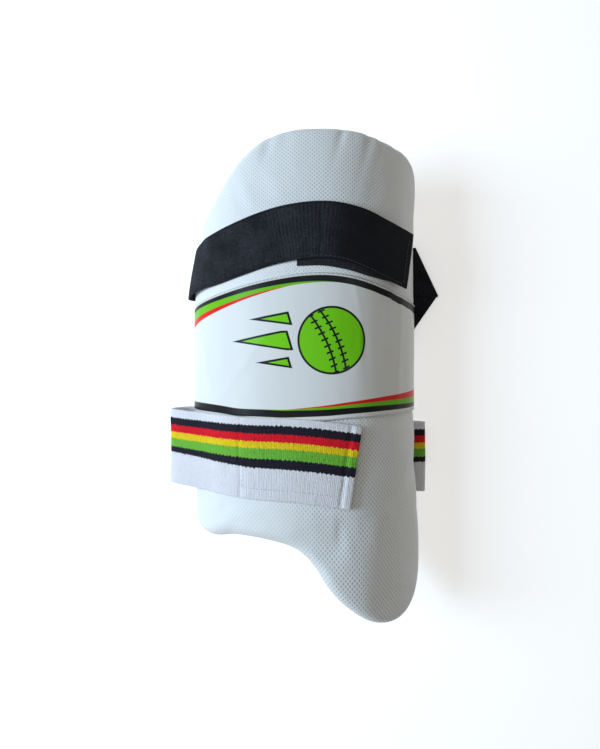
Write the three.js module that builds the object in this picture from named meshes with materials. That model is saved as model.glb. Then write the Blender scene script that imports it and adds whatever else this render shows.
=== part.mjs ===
// Cricket thigh guard lying on its back: a long curved pad, open underneath where the
// thigh goes, with a printed panel across its front, two elastic straps and their fasteners.
// Millimetres, +Z up. +X is the outer side of the thigh, +Y the top of the guard.
import * as THREE from 'three';

// The pad. Its outer face is two quarter ellipses that meet at a ridge.
const PAD_LENGTH = 409;
const PAD_RISE = 88;
const INNER_SIDE_REACH = 122;
const OUTER_SIDE_REACH = 81;
const RIDGE_OFFSET = 24;
const RIDGE_BLEND_DEGREES = 35;
const PAD_THICKNESS = 19;
const OUTER_FOOT_FLARE = 4;
const OUTER_TOP_FLARE = 2;
const TOP_SHARE = 0.482;

// The printed panel, a skin on the outer face.
const PANEL_THICKNESS = 0.8;
const PANEL_TOP = 78.6;
const PANEL_TOP_BOW = 19;
const PANEL_BOTTOM = -38;
const PANEL_BOTTOM_BOW = 7;

// The black upper strap, the hook tab under its end and the loop patch on the pad.
const UPPER_STRAP_WIDTH = 44.5;
const UPPER_STRAP_THICKNESS = 2;
const UPPER_STRAP_HEIGHT = 113.5;
const UPPER_STRAP_BOW = 18;
const UPPER_FOLD_REACH = 118;
const UPPER_FOLD_HEIGHT = 96;
const UPPER_SEWN_LENGTH = 28;
const UPPER_RETURN_LENGTH = 84;
const UPPER_OUT_RUN = new THREE.Vector3(0.9965, -0.084, 0).normalize();
const UPPER_FOLD_LINE = new THREE.Vector3(-0.426, 0.905, 0).normalize();
const LOOP_PATCH_WIDTH = 38;
const LOOP_PATCH_THICKNESS = 1;
const LOOP_PATCH_SHIFT = 8.8;
const UPPER_TAB_WIDTH = 40;
const UPPER_TAB_THICKNESS = 1;

// The knitted lower strap and the hook tab under its end.
const LOWER_STRAP_WIDTH = 66;
const LOWER_STRAP_THICKNESS = 2.2;
const LOWER_STRAP_HEIGHT = -67.5;
const LOWER_STRAP_BOW = 6;
const LOWER_LOOP_BULGE = 20;
const LOWER_LOOP_RADIUS = 18;
const LOWER_LOOP_HEIGHT = -62.5;
const LOWER_FOLD_REACH = 115.5;
const LOWER_FOLD_HEIGHT = -77;
const LOWER_SEWN_LENGTH = 24;
const LOWER_TAB_WIDTH = 54;
const LOWER_TAB_THICKNESS = 1;

// Clear space between pieces that touch.
const TOUCH_GAP = 0.3;

// How finely the curved pieces are cut.
const TRIANGLE_CORNERS = 3;
const RING_STEPS = 72;
const RIM_STEPS = 3;
const BAND_STRIPS = 3;
const PROFILE_STEPS = 720;
const PANEL_SECTIONS = 54;
const UPPER_SECTIONS = 44;
const LOWER_SECTIONS = 28;
const LOOP_SECTIONS = 12;
const TAB_SECTIONS = 16;
const WRAP_STEPS = 6;
const FOLD_TURNS = [-90, -45, 0, 45, 90];

// The pad's outline as shares: across of the unrolled way from the ridge to the rim on
// that side (inner side negative), up of the whole length.
const PAD_OUTLINE = [
  { across: -0.064, up: 0.482 },
  { across: 0.19, up: 0.478 },
  { across: 0.42, up: 0.47 },
  { across: 0.64, up: 0.463 },
  { across: 0.81, up: 0.447 },
  { across: 0.93, up: 0.417 },
  { across: 0.985, up: 0.375 },
  { across: 1.0, up: 0.31 },
  { across: 1.0, up: 0.155 },
  { across: 1.0, up: 0.0 },
  { across: 1.0, up: -0.155 },
  { across: 1.0, up: -0.31 },
  { across: 0.985, up: -0.385 },
  { across: 0.905, up: -0.438 },
  { across: 0.78, up: -0.474 },
  { across: 0.62, up: -0.499 },
  { across: 0.46, up: -0.505 },
  { across: 0.3, up: -0.493 },
  { across: 0.1, up: -0.454 },
  { across: -0.01, up: -0.419 },
  { across: -0.085, up: -0.376 },
  { across: -0.175, up: -0.345 },
  { across: -0.315, up: -0.331 },
  { across: -0.52, up: -0.328 },
  { across: -0.73, up: -0.341 },
  { across: -0.87, up: -0.327 },
  { across: -0.93, up: -0.287 },
  { across: -0.968, up: -0.225 },
  { across: -1.0, up: -0.14 },
  { across: -1.0, up: 0.0 },
  { across: -1.0, up: 0.14 },
  { across: -0.985, up: 0.2 },
  { across: -0.935, up: 0.262 },
  { across: -0.85, up: 0.303 },
  { across: -0.775, up: 0.337 },
  { across: -0.685, up: 0.366 },
  { across: -0.59, up: 0.402 },
  { across: -0.485, up: 0.437 },
  { across: -0.35, up: 0.468 },
  { across: -0.2, up: 0.481 },
];

// Rings of the two faces inside the rim, as shares of the way out from the pad's middle.
const FACE_RING_SHARES = [0.92, 0.8, 0.67, 0.53, 0.38, 0.2];

// Puckers of the cover over the top rim: where across, how wide, and how deep as a share
// of the pad's thickness.
const TOP_PUCKERS = [
  { across: -0.29, width: 0.035, depth: 0.06 },
  { across: 0.33, width: 0.05, depth: 0.09 },
  { across: 0.52, width: 0.04, depth: 0.07 },
];
const PUCKER_REACH = 22;

// The panel's edges follow the sides: bow 0 at the ridge, 1 at the rims.
const PANEL_BOWS = [
  { across: -0.94, top: 1.0, bottom: 1.0 },
  { across: -0.61, top: 0.8, bottom: 0.8 },
  { across: -0.41, top: 0.45, bottom: 0.36 },
  { across: -0.26, top: 0.19, bottom: 0.0 },
  { across: -0.14, top: 0.04, bottom: 0.08 },
  { across: -0.02, top: 0.0, bottom: 0.22 },
  { across: 0.12, top: 0.06, bottom: 0.44 },
  { across: 0.3, top: 0.28, bottom: 0.64 },
  { across: 0.53, top: 0.6, bottom: 0.78 },
  { across: 0.92, top: 0.86, bottom: 0.88 },
];

// The upper strap over the front: drop as a share of its bow, stack as a share of the
// height of the loop patch and hook tab under it, broad as a share of its width. Its end
// stands away from the pad and is broader, where no pull narrows it.
const UPPER_STRAP_ROWS = [
  { across: -0.94, drop: 1.25, stack: 0.9, broad: 1.0 },
  { across: -0.75, drop: 1.0, stack: 0.5, broad: 1.0 },
  { across: -0.62, drop: 0.86, stack: 0.1, broad: 1.0 },
  { across: -0.47, drop: 0.58, stack: 0.0, broad: 1.0 },
  { across: -0.34, drop: 0.3, stack: 0.05, broad: 1.0 },
  { across: -0.2, drop: 0.08, stack: 0.65, broad: 1.0 },
  { across: -0.03, drop: 0.0, stack: 1.0, broad: 1.0 },
  { across: 0.12, drop: 0.17, stack: 1.0, broad: 1.0 },
  { across: 0.31, drop: 0.58, stack: 1.05, broad: 1.03 },
  { across: 0.45, drop: 0.86, stack: 1.5, broad: 1.07 },
  { across: 0.57, drop: 1.06, stack: 2.4, broad: 1.1 },
];

// The loop patch, flat on the pad: drop from the height of its inner end.
const LOOP_PATCH_ROWS = [
  { across: -0.165, drop: 0.0, stack: 0, broad: 1.0 },
  { across: -0.03, drop: 0.0, stack: 0, broad: 1.0 },
  { across: 0.12, drop: 0.17, stack: 0, broad: 1.0 },
  { across: 0.3, drop: 0.48, stack: 0, broad: 1.0 },
  { across: 0.5, drop: 0.82, stack: 0, broad: 1.0 },
];

// The lower strap over the front, from where it leaves the pad's inner side.
const LOWER_STRAP_ROWS = [
  { across: -0.64, drop: -0.22, stack: 0, broad: 1.0 },
  { across: -0.5, drop: -0.08, stack: 0, broad: 1.0 },
  { across: -0.4, drop: 0.0, stack: 0, broad: 1.0 },
  { across: -0.2, drop: 0.05, stack: 0, broad: 1.0 },
  { across: -0.06, drop: 0.33, stack: 0, broad: 1.0 },
  { across: 0.05, drop: 0.68, stack: 0, broad: 1.0 },
  { across: 0.175, drop: 1.05, stack: 0, broad: 1.0 },
];

// The stretch of each strap's front line that its hook tab lies under.
const UPPER_TAB_SPAN = { from: 0.605, to: 0.985 };
const LOWER_TAB_SPAN = { from: 0.24, to: 0.95 };

const CLOTH_WHITE = 0xdfe5ea;
const PANEL_WHITE = 0xe6e9ea;
const ELASTIC_BLACK = 0x1b1c20;
const HOOK_BLACK = 0x101115;
const KNIT_WHITE = 0xd9d7e2;

// The outer face's reach to either side blends smoothly over the ridge.
function sideReach(turn) {
  const blend = THREE.MathUtils.degToRad(RIDGE_BLEND_DEGREES);
  const share = THREE.MathUtils.smoothstep(turn, -blend, blend);
  return THREE.MathUtils.lerp(INNER_SIDE_REACH, OUTER_SIDE_REACH, share);
}

// The outer face's section, walked from the inner side to the outer side: place, outward
// normal and the distance along the face from the ridge.
function walkProfile() {
  const walk = [];
  let along = 0;
  for (let step = 0; step <= PROFILE_STEPS; step += 1) {
    const turn = Math.PI * (step / PROFILE_STEPS - 0.5);
    const place = new THREE.Vector2(sideReach(turn) * Math.sin(turn), PAD_RISE * Math.cos(turn));
    if (step > 0) {
      along += place.distanceTo(walk[step - 1].place);
    }
    walk.push({ place, along });
  }
  const ridge = walk[PROFILE_STEPS / 2].along;
  walk.forEach((point, index) => {
    const before = walk[Math.max(index - 1, 0)].place;
    const after = walk[Math.min(index + 1, PROFILE_STEPS)].place;
    const tangent = new THREE.Vector2().subVectors(after, before).normalize();
    point.normal = new THREE.Vector2(-tangent.y, tangent.x);
    point.along -= ridge;
  });
  return walk;
}

const PROFILE = walkProfile();

// Place and normal on the outer face's section at a distance from the ridge.
function sectionAt(along) {
  let low = 0;
  let high = PROFILE_STEPS;
  while (high - low > 1) {
    const middle = Math.floor((low + high) / 2);
    if (PROFILE[middle].along <= along) {
      low = middle;
    } else {
      high = middle;
    }
  }
  const from = PROFILE[low];
  const to = PROFILE[high];
  const share = (along - from.along) / (to.along - from.along);
  return {
    place: new THREE.Vector2().lerpVectors(from.place, to.place, share),
    normal: new THREE.Vector2().lerpVectors(from.normal, to.normal, share).normalize(),
  };
}

// The outer side flares a little towards its foot and its top.
function flareAt(across, y) {
  if (across <= 0) {
    return 0;
  }
  const foot = OUTER_FOOT_FLARE * THREE.MathUtils.smoothstep(-y / PAD_LENGTH, 0.15, 0.42);
  const top = OUTER_TOP_FLARE * THREE.MathUtils.smoothstep(y / PAD_LENGTH, 0.25, 0.45);
  return (foot + top) * THREE.MathUtils.smoothstep(across / OUTER_SIDE_REACH, 0, 1);
}

// A point at a height over the outer face.
function overFace(along, y, height) {
  const { place, normal } = sectionAt(along);
  const x = place.x + normal.x * height;
  const z = place.y + normal.y * height;
  return new THREE.Vector3(RIDGE_OFFSET + x + flareAt(place.x, y), y, z);
}

// The rims stand clear of the strap layers that pass under them: one on the inner side,
// two on the outer side, where the straps are sewn on and fold back.
const STRAP_LAYER = Math.max(UPPER_STRAP_THICKNESS, LOWER_STRAP_THICKNESS) + TOUCH_GAP;
const INNER_RIM_CLEARANCE = STRAP_LAYER;
const OUTER_RIM_CLEARANCE = 2 * STRAP_LAYER;
const RIM_RADIUS = PAD_THICKNESS / 2;

// Distance along the face from the ridge to the centre of the rounded rim.
function rimCentre(side, clearance) {
  const target = clearance + RIM_RADIUS;
  const points = PROFILE.filter((point) => point.along * side > 0);
  const above = points.filter((point) => point.place.y - point.normal.y * RIM_RADIUS > target);
  return Math.max(...above.map((point) => point.along * side));
}

const INNER_RIM_CENTRE = rimCentre(-1, INNER_RIM_CLEARANCE);
const OUTER_RIM_CENTRE = rimCentre(1, OUTER_RIM_CLEARANCE);

// Distance along the face for a share of the way from the ridge to the rim's edge.
function alongFor(share) {
  return share < 0
    ? share * (INNER_RIM_CENTRE + RIM_RADIUS)
    : share * (OUTER_RIM_CENTRE + RIM_RADIUS);
}

// A closed body from rings of points. The first and last ring may be single points.
function closedBody(rings) {
  const positions = [];
  const starts = [];
  for (const ring of rings) {
    starts.push(positions.length / 3);
    ring.forEach((point) => positions.push(point.x, point.y, point.z));
  }
  const indices = [];
  for (let row = 0; row + 1 < rings.length; row += 1) {
    const near = rings[row].length;
    const far = rings[row + 1].length;
    const count = Math.max(near, far);
    for (let step = 0; step < count; step += 1) {
      const next = (step + 1) % count;
      const a = starts[row] + (near === 1 ? 0 : step);
      const b = starts[row] + (near === 1 ? 0 : next);
      const c = starts[row + 1] + (far === 1 ? 0 : step);
      const d = starts[row + 1] + (far === 1 ? 0 : next);
      if (near > 1) {
        indices.push(a, b, c);
      }
      if (far > 1) {
        indices.push(b, d, c);
      }
    }
  }
  const geometry = new THREE.BufferGeometry();
  geometry.setAttribute('position', new THREE.Float32BufferAttribute(positions, 3));
  geometry.setIndex(indices);
  if (signedVolume(geometry) < 0) {
    geometry.setIndex(flipped(indices));
  }
  geometry.computeVertexNormals();
  return geometry;
}

function signedVolume(geometry) {
  const index = geometry.getIndex();
  const place = geometry.getAttribute('position');
  const [a, b, c] = [new THREE.Vector3(), new THREE.Vector3(), new THREE.Vector3()];
  let volume = 0;
  for (let corner = 0; corner < index.count; corner += TRIANGLE_CORNERS) {
    a.fromBufferAttribute(place, index.getX(corner));
    b.fromBufferAttribute(place, index.getX(corner + 1));
    c.fromBufferAttribute(place, index.getX(corner + 2));
    volume += a.dot(b.cross(c)) / 6;
  }
  return volume;
}

function flipped(indices) {
  const turned = [];
  for (let corner = 0; corner < indices.length; corner += TRIANGLE_CORNERS) {
    turned.push(indices[corner], indices[corner + 2], indices[corner + 1]);
  }
  return turned;
}

// The pad's outline in the unrolled face, walked at even steps.
function outlinePoints() {
  const corners = PAD_OUTLINE.map(
    (row) => new THREE.Vector3(alongFor(row.across), row.up * PAD_LENGTH, 0),
  );
  const curve = new THREE.CatmullRomCurve3(corners, true, 'centripetal');
  return curve.getSpacedPoints(RING_STEPS).slice(0, RING_STEPS);
}

// The outline moved inwards by a distance.
function insetRing(outline, distance) {
  return outline.map((point, index) => {
    const before = outline[(index + RING_STEPS - 1) % RING_STEPS];
    const after = outline[(index + 1) % RING_STEPS];
    const tangent = new THREE.Vector3().subVectors(after, before).normalize();
    return new THREE.Vector3(point.x + tangent.y * distance, point.y - tangent.x * distance, 0);
  });
}

// How far the cover's puckers sink the face near the top rim.
function puckerDepth(along, y) {
  const below = TOP_SHARE * PAD_LENGTH - y;
  const fade = Math.exp(-Math.max(below, 0) / PUCKER_REACH);
  const reach = OUTER_RIM_CENTRE + RIM_RADIUS;
  let depth = 0;
  for (const pucker of TOP_PUCKERS) {
    const away = (along - alongFor(pucker.across)) / (pucker.width * reach);
    depth += pucker.depth * PAD_THICKNESS * Math.exp(-away * away);
  }
  return depth * fade;
}

function padGeometry() {
  const outline = outlinePoints();
  const rings = [];
  for (let step = 1; step <= RIM_STEPS; step += 1) {
    const turn = (Math.PI / 2) * (step / RIM_STEPS);
    rings.push({
      points: insetRing(outline, RIM_RADIUS * (1 - Math.cos(turn))),
      half: RIM_RADIUS * Math.sin(turn),
    });
  }
  const edge = rings[rings.length - 1].points;
  const middle = new THREE.Vector3(alongFor(0.08), 0, 0);
  for (const share of FACE_RING_SHARES) {
    const points = edge.map((point) => new THREE.Vector3().lerpVectors(middle, point, share));
    rings.push({ points, half: RIM_RADIUS });
  }
  rings.push({ points: [middle], half: RIM_RADIUS });
  const place = (ring, side) => ring.points.map((point) => {
    const sunk = side > 0 ? puckerDepth(point.x, point.y) * (ring.half / RIM_RADIUS) : 0;
    return overFace(point.x, point.y, side * ring.half - RIM_RADIUS - sunk);
  });
  const outer = rings.map((ring) => place(ring, 1)).reverse();
  const rim = [place({ points: outline, half: 0 }, 1)];
  const inner = rings.map((ring) => place(ring, -1));
  return closedBody([...outer, ...rim, ...inner]);
}

// A band is a row of cross sections. Each section holds the points of its inner face,
// then those of its outer face, so that its ends close flat.
function bandGeometry(sections) {
  const rings = sections.map((section) => [...section.inner, ...section.outer.slice().reverse()]);
  const positions = [];
  rings.forEach((ring) => ring.forEach((point) => positions.push(point.x, point.y, point.z)));
  const count = rings[0].length;
  const indices = [];
  for (let row = 0; row + 1 < rings.length; row += 1) {
    for (let step = 0; step < count; step += 1) {
      const next = (step + 1) % count;
      const a = row * count + step;
      const b = row * count + next;
      indices.push(a, b, a + count, b, b + count, a + count);
    }
  }
  const last = (rings.length - 1) * count;
  for (let step = 0; step + 1 < count / 2; step += 1) {
    const across = count - 1 - step;
    indices.push(step, across, step + 1, across, across - 1, step + 1);
    indices.push(last + step, last + step + 1, last + across);
    indices.push(last + across, last + step + 1, last + across - 1);
  }
  const geometry = new THREE.BufferGeometry();
  geometry.setAttribute('position', new THREE.Float32BufferAttribute(positions, 3));
  geometry.setIndex(indices);
  if (signedVolume(geometry) < 0) {
    geometry.setIndex(flipped(indices));
  }
  geometry.computeVertexNormals();
  return geometry;
}

// A section on the pad's face between two points of the unrolled face.
function faceSection(upper, lower, height, thickness) {
  const inner = [];
  const outer = [];
  for (let strip = 0; strip <= BAND_STRIPS; strip += 1) {
    const share = strip / BAND_STRIPS;
    const along = THREE.MathUtils.lerp(upper.x, lower.x, share);
    const y = THREE.MathUtils.lerp(upper.y, lower.y, share);
    inner.push(overFace(along, y, height));
    outer.push(overFace(along, y, height + thickness));
  }
  return { inner, outer };
}

// A section away from the pad: its middle and half width on the inner face, and the way
// through its thickness.
function freeSection(middle, halfAcross, through) {
  const inner = [];
  const outer = [];
  for (let strip = 0; strip <= BAND_STRIPS; strip += 1) {
    const share = 1 - (2 * strip) / BAND_STRIPS;
    const point = middle.clone().addScaledVector(halfAcross, share);
    inner.push(point);
    outer.push(point.clone().add(through));
  }
  return { inner, outer };
}

// A strap's centre line over the front, from its table: place along the unrolled face, y
// and height over the face. Its breadth is read off at the same share of the way.
function frontLine(rows, centre, bow, floorHeight, stackHeight) {
  const points = rows.map((row) => new THREE.Vector3(
    alongFor(row.across),
    centre - bow * row.drop,
    floorHeight + stackHeight * row.stack,
  ));
  const line = new THREE.CatmullRomCurve3(points, false, 'centripetal');
  line.broadAt = (along) => {
    const after = rows.findIndex((row) => alongFor(row.across) >= along);
    if (after <= 0) {
      return rows[after < 0 ? rows.length - 1 : 0].broad;
    }
    const [from, to] = [points[after - 1].x, points[after].x];
    return THREE.MathUtils.mapLinear(along, from, to, rows[after - 1].broad, rows[after].broad);
  };
  return line;
}

// Sections of a band of a width that follows a stretch of a front line.
function frontSections(line, from, to, count, width, thickness, drop) {
  const sections = [];
  for (let step = 0; step <= count; step += 1) {
    const share = THREE.MathUtils.lerp(from, to, step / count);
    const point = line.getPointAt(share);
    const tangent = line.getTangentAt(share);
    const level = new THREE.Vector2(tangent.x, tangent.y).normalize();
    const side = new THREE.Vector2(-level.y, level.x);
    const half = (width / 2) * line.broadAt(point.x);
    const upper = new THREE.Vector2(point.x, point.y).addScaledVector(side, half);
    const lower = new THREE.Vector2(point.x, point.y).addScaledVector(side, -half);
    sections.push(faceSection(upper, lower, point.z - drop, thickness));
  }
  return sections;
}

// The turns of a folded strap, from its lower layer to its upper one. The inside of the
// fold is the face that the two layers turn to each other.
function foldTurns(middle, halfFold, outward, thickness) {
  const up = new THREE.Vector3(0, 0, 1);
  const spine = middle.clone().setZ(thickness + TOUCH_GAP / 2);
  return FOLD_TURNS.map((degrees) => {
    const turn = THREE.MathUtils.degToRad(degrees);
    const ray = outward.clone().multiplyScalar(Math.cos(turn)).addScaledVector(up, Math.sin(turn));
    const inside = spine.clone().addScaledVector(ray, TOUCH_GAP / 2);
    return freeSection(inside, halfFold, ray.multiplyScalar(thickness));
  });
}

// The same section with its two faces exchanged.
function turnedOver(section) {
  return { inner: section.outer, outer: section.inner };
}

// The same section read from its other edge.
function edgesSwapped(section) {
  return { inner: section.inner.slice().reverse(), outer: section.outer.slice().reverse() };
}

// Half a strap's cross line along a given direction, for a strap that runs another way.
function halfCross(width, run, direction) {
  const lean = Math.abs(run.x * direction.y - run.y * direction.x);
  return direction.clone().multiplyScalar(width / 2 / lean);
}

// The way square to a fold line that a run of strap points to.
function outwardOf(line, run) {
  const outward = new THREE.Vector3(line.y, -line.x, 0);
  return outward.dot(run) > 0 ? outward : outward.negate();
}

function panelGeometry() {
  const rows = PANEL_BOWS.map((row) => new THREE.Vector3(
    alongFor(row.across),
    PANEL_TOP - PANEL_TOP_BOW * row.top,
    PANEL_BOTTOM + PANEL_BOTTOM_BOW * row.bottom,
  ));
  const edges = new THREE.CatmullRomCurve3(rows, false, 'centripetal');
  const sections = edges.getSpacedPoints(PANEL_SECTIONS).map((row) => faceSection(
    new THREE.Vector2(row.x, row.y),
    new THREE.Vector2(row.x, row.z),
    TOUCH_GAP,
    PANEL_THICKNESS,
  ));
  return bandGeometry(sections);
}

const UPPER_STACK = LOOP_PATCH_THICKNESS + UPPER_TAB_THICKNESS + 2 * TOUCH_GAP;
const UPPER_LINE = frontLine(
  UPPER_STRAP_ROWS, UPPER_STRAP_HEIGHT, UPPER_STRAP_BOW, TOUCH_GAP, UPPER_STACK,
);
const LOOP_PATCH_LINE = frontLine(
  LOOP_PATCH_ROWS, UPPER_STRAP_HEIGHT - LOOP_PATCH_SHIFT, UPPER_STRAP_BOW, TOUCH_GAP, 0,
);
const LOWER_BASE = Math.max(PANEL_THICKNESS, LOWER_TAB_THICKNESS) + 2 * TOUCH_GAP;
const LOWER_LINE = frontLine(
  LOWER_STRAP_ROWS, LOWER_STRAP_HEIGHT, LOWER_STRAP_BOW, LOWER_BASE, 0,
);

// The upper strap round the inner rim, from the floor up to the face.
function rimWrapSections(start, width, thickness) {
  const rim = sectionAt(-INNER_RIM_CENTRE);
  const centre = new THREE.Vector3(
    RIDGE_OFFSET + rim.place.x - rim.normal.x * RIM_RADIUS,
    start.y,
    rim.place.y - rim.normal.y * RIM_RADIUS,
  );
  const faceTurn = Math.atan2(rim.normal.y, rim.normal.x);
  const floorTurn = Math.PI * 1.5;
  const half = new THREE.Vector3(0, width / 2, 0);
  const sections = [];
  for (let step = 0; step < WRAP_STEPS; step += 1) {
    const share = step / WRAP_STEPS;
    const turn = THREE.MathUtils.lerp(floorTurn, faceTurn, share);
    const radius = THREE.MathUtils.lerp(centre.z - thickness, RIM_RADIUS + start.z, share);
    const ray = new THREE.Vector3(Math.cos(turn), 0, Math.sin(turn));
    const middle = centre.clone().addScaledVector(ray, radius);
    sections.push(freeSection(middle, half, ray.multiplyScalar(thickness)));
  }
  return sections;
}

// The upper strap: sewn under the outer rim, folded back over a slanting line, folded
// again under the pad, then along the floor, round the inner rim and over the front.
function upperStrapGeometry() {
  const thickness = UPPER_STRAP_THICKNESS;
  const width = UPPER_STRAP_WIDTH;
  const upperLevel = 2 * thickness + TOUCH_GAP;
  const down = new THREE.Vector3(0, 0, -thickness);
  const across = new THREE.Vector3(0, 1, 0);

  const foldPlace = new THREE.Vector3(UPPER_FOLD_REACH, UPPER_FOLD_HEIGHT, 0);
  const backRun = UPPER_OUT_RUN.clone().reflect(outwardOf(UPPER_FOLD_LINE, UPPER_OUT_RUN));
  const sewnPlace = foldPlace.clone().addScaledVector(UPPER_OUT_RUN, -UPPER_SEWN_LENGTH);
  const sewnHalf = halfCross(width, UPPER_OUT_RUN, across);
  const foldHalf = halfCross(width, UPPER_OUT_RUN, UPPER_FOLD_LINE);
  const turnPlace = foldPlace.clone().addScaledVector(backRun, UPPER_RETURN_LENGTH);

  const wrap = rimWrapSections(UPPER_LINE.getPointAt(0), width, thickness).map(edgesSwapped);
  const landing = wrap[0].inner[0].clone().lerp(wrap[0].inner[BAND_STRIPS], 0.5);
  const homeRun = landing.clone().sub(turnPlace).setZ(0).normalize();
  const turnLine = backRun.clone().add(homeRun).normalize();
  const turnHalf = halfCross(width, homeRun, turnLine);
  const turns = foldTurns(turnPlace, turnHalf, outwardOf(turnLine, backRun), thickness);
  const folds = foldTurns(foldPlace, foldHalf, outwardOf(UPPER_FOLD_LINE, UPPER_OUT_RUN), thickness);

  const overLean = turnLine.clone().sub(across).normalize();
  const overPlace = turnPlace.clone().addScaledVector(homeRun, width).setZ(upperLevel);
  const lowPlace = turnPlace.clone().addScaledVector(homeRun, width * 2).setZ(thickness);
  const front = frontSections(UPPER_LINE, 0, 1, UPPER_SECTIONS, width, thickness, 0);
  return bandGeometry([
    freeSection(sewnPlace.setZ(upperLevel), sewnHalf, down),
    ...folds.reverse().map(turnedOver),
    ...turns.map(turnedOver),
    freeSection(overPlace, halfCross(width, homeRun, overLean), down),
    freeSection(lowPlace, halfCross(width, homeRun, across).negate(), down),
    ...wrap,
    ...front.map(edgesSwapped),
  ]);
}

// The lower strap's loop beside the inner rim, from the floor out to the bulge and back
// up to the pad's face.
function looseLoopSections(width, thickness, floorY) {
  const start = LOWER_LINE.getPointAt(0);
  const face = overFace(start.x, start.y, start.z);
  const { normal } = sectionAt(start.x);
  const tangent = new THREE.Vector2(normal.y, -normal.x);
  const side = RIDGE_OFFSET - INNER_SIDE_REACH - LOWER_LOOP_BULGE + thickness;
  const floor = new THREE.Vector2(side + LOWER_LOOP_RADIUS, thickness);
  const bulge = new THREE.Vector2(side, thickness + LOWER_LOOP_RADIUS);
  const landing = new THREE.Vector2(face.x, face.z);
  const reach = LOWER_LOOP_RADIUS * 0.55;
  const path = new THREE.CurvePath();
  path.add(new THREE.CubicBezierCurve(
    floor,
    new THREE.Vector2(floor.x - reach, floor.y),
    new THREE.Vector2(bulge.x, bulge.y - reach),
    bulge,
  ));
  path.add(new THREE.CubicBezierCurve(
    bulge,
    new THREE.Vector2(bulge.x, bulge.y + reach),
    landing.clone().addScaledVector(tangent, -landing.distanceTo(bulge) * 0.45),
    landing,
  ));
  const half = new THREE.Vector3(0, width / 2, 0);
  const sections = [];
  for (let step = 0; step < LOOP_SECTIONS; step += 1) {
    const share = step / LOOP_SECTIONS;
    const place = path.getPointAt(share);
    const run = path.getTangentAt(share);
    const y = THREE.MathUtils.lerp(floorY, start.y, share);
    const through = new THREE.Vector3(-run.y, 0, run.x).multiplyScalar(thickness);
    sections.push(freeSection(new THREE.Vector3(place.x, y, place.y), half, through));
  }
  return sections;
}

// The lower strap: sewn under the outer rim, folded straight back, along the floor, out
// in a loose loop beside the inner rim and over the front.
function lowerStrapGeometry() {
  const thickness = LOWER_STRAP_THICKNESS;
  const width = LOWER_STRAP_WIDTH;
  const up = new THREE.Vector3(0, 0, thickness);
  const half = new THREE.Vector3(0, width / 2, 0);
  const foldPlace = new THREE.Vector3(LOWER_FOLD_REACH, LOWER_FOLD_HEIGHT, 0);
  const sewnPlace = foldPlace.clone().setX(LOWER_FOLD_REACH - LOWER_SEWN_LENGTH);
  const outward = new THREE.Vector3(1, 0, 0);
  const front = frontSections(LOWER_LINE, 0, 1, LOWER_SECTIONS, width, thickness, 0);
  return bandGeometry([
    freeSection(sewnPlace.setZ(thickness + TOUCH_GAP), half, up),
    ...foldTurns(foldPlace, half, outward, thickness).reverse(),
    ...looseLoopSections(width, thickness, LOWER_LOOP_HEIGHT),
    ...front,
  ]);
}

// A piece that lies under a stretch of a strap's front line, face to face with the strap.
function tabGeometry(line, span, width, thickness) {
  const drop = thickness + TOUCH_GAP;
  return bandGeometry(
    frontSections(line, span.from, span.to, TAB_SECTIONS, width, thickness, drop),
  );
}

function loopPatchGeometry() {
  return bandGeometry(frontSections(
    LOOP_PATCH_LINE, 0, 1, TAB_SECTIONS, LOOP_PATCH_WIDTH, LOOP_PATCH_THICKNESS, 0,
  ));
}

function piece(name, geometry, color, roughness) {
  const material = new THREE.MeshStandardMaterial({ color, roughness, metalness: 0 });
  const mesh = new THREE.Mesh(geometry, material);
  mesh.name = name;
  return mesh;
}

const upperTab = tabGeometry(UPPER_LINE, UPPER_TAB_SPAN, UPPER_TAB_WIDTH, UPPER_TAB_THICKNESS);
const lowerTab = tabGeometry(LOWER_LINE, LOWER_TAB_SPAN, LOWER_TAB_WIDTH, LOWER_TAB_THICKNESS);

const guard = new THREE.Group();
guard.add(
  piece('guard_pad', padGeometry(), CLOTH_WHITE, 0.85),
  piece('print_panel', panelGeometry(), PANEL_WHITE, 0.3),
  piece('loop_patch', loopPatchGeometry(), HOOK_BLACK, 0.95),
  piece('upper_strap', upperStrapGeometry(), ELASTIC_BLACK, 0.8),
  piece('upper_hook_tab', upperTab, HOOK_BLACK, 0.7),
  piece('lower_strap', lowerStrapGeometry(), KNIT_WHITE, 0.9),
  piece('lower_hook_tab', lowerTab, HOOK_BLACK, 0.7),
);

// The origin is on the floor under the middle of the whole guard.
const extent = new THREE.Box3().setFromObject(guard);
const middle = extent.getCenter(new THREE.Vector3());
guard.position.set(-middle.x, -middle.y, -extent.min.z);
guard.updateMatrixWorld(true);

export default guard;
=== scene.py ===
"""Dresses a cricket thigh guard that lies on its back, seen from straight above.

Every shape is worked out from the same sizes and rules as the construction: a pad on a
section of two quarter ellipses, a printed skin, two elastic straps and their fasteners.
"""

import logging
import math
from abc import ABC, abstractmethod
from collections.abc import Callable
from dataclasses import dataclass, field
from enum import Enum

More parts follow.
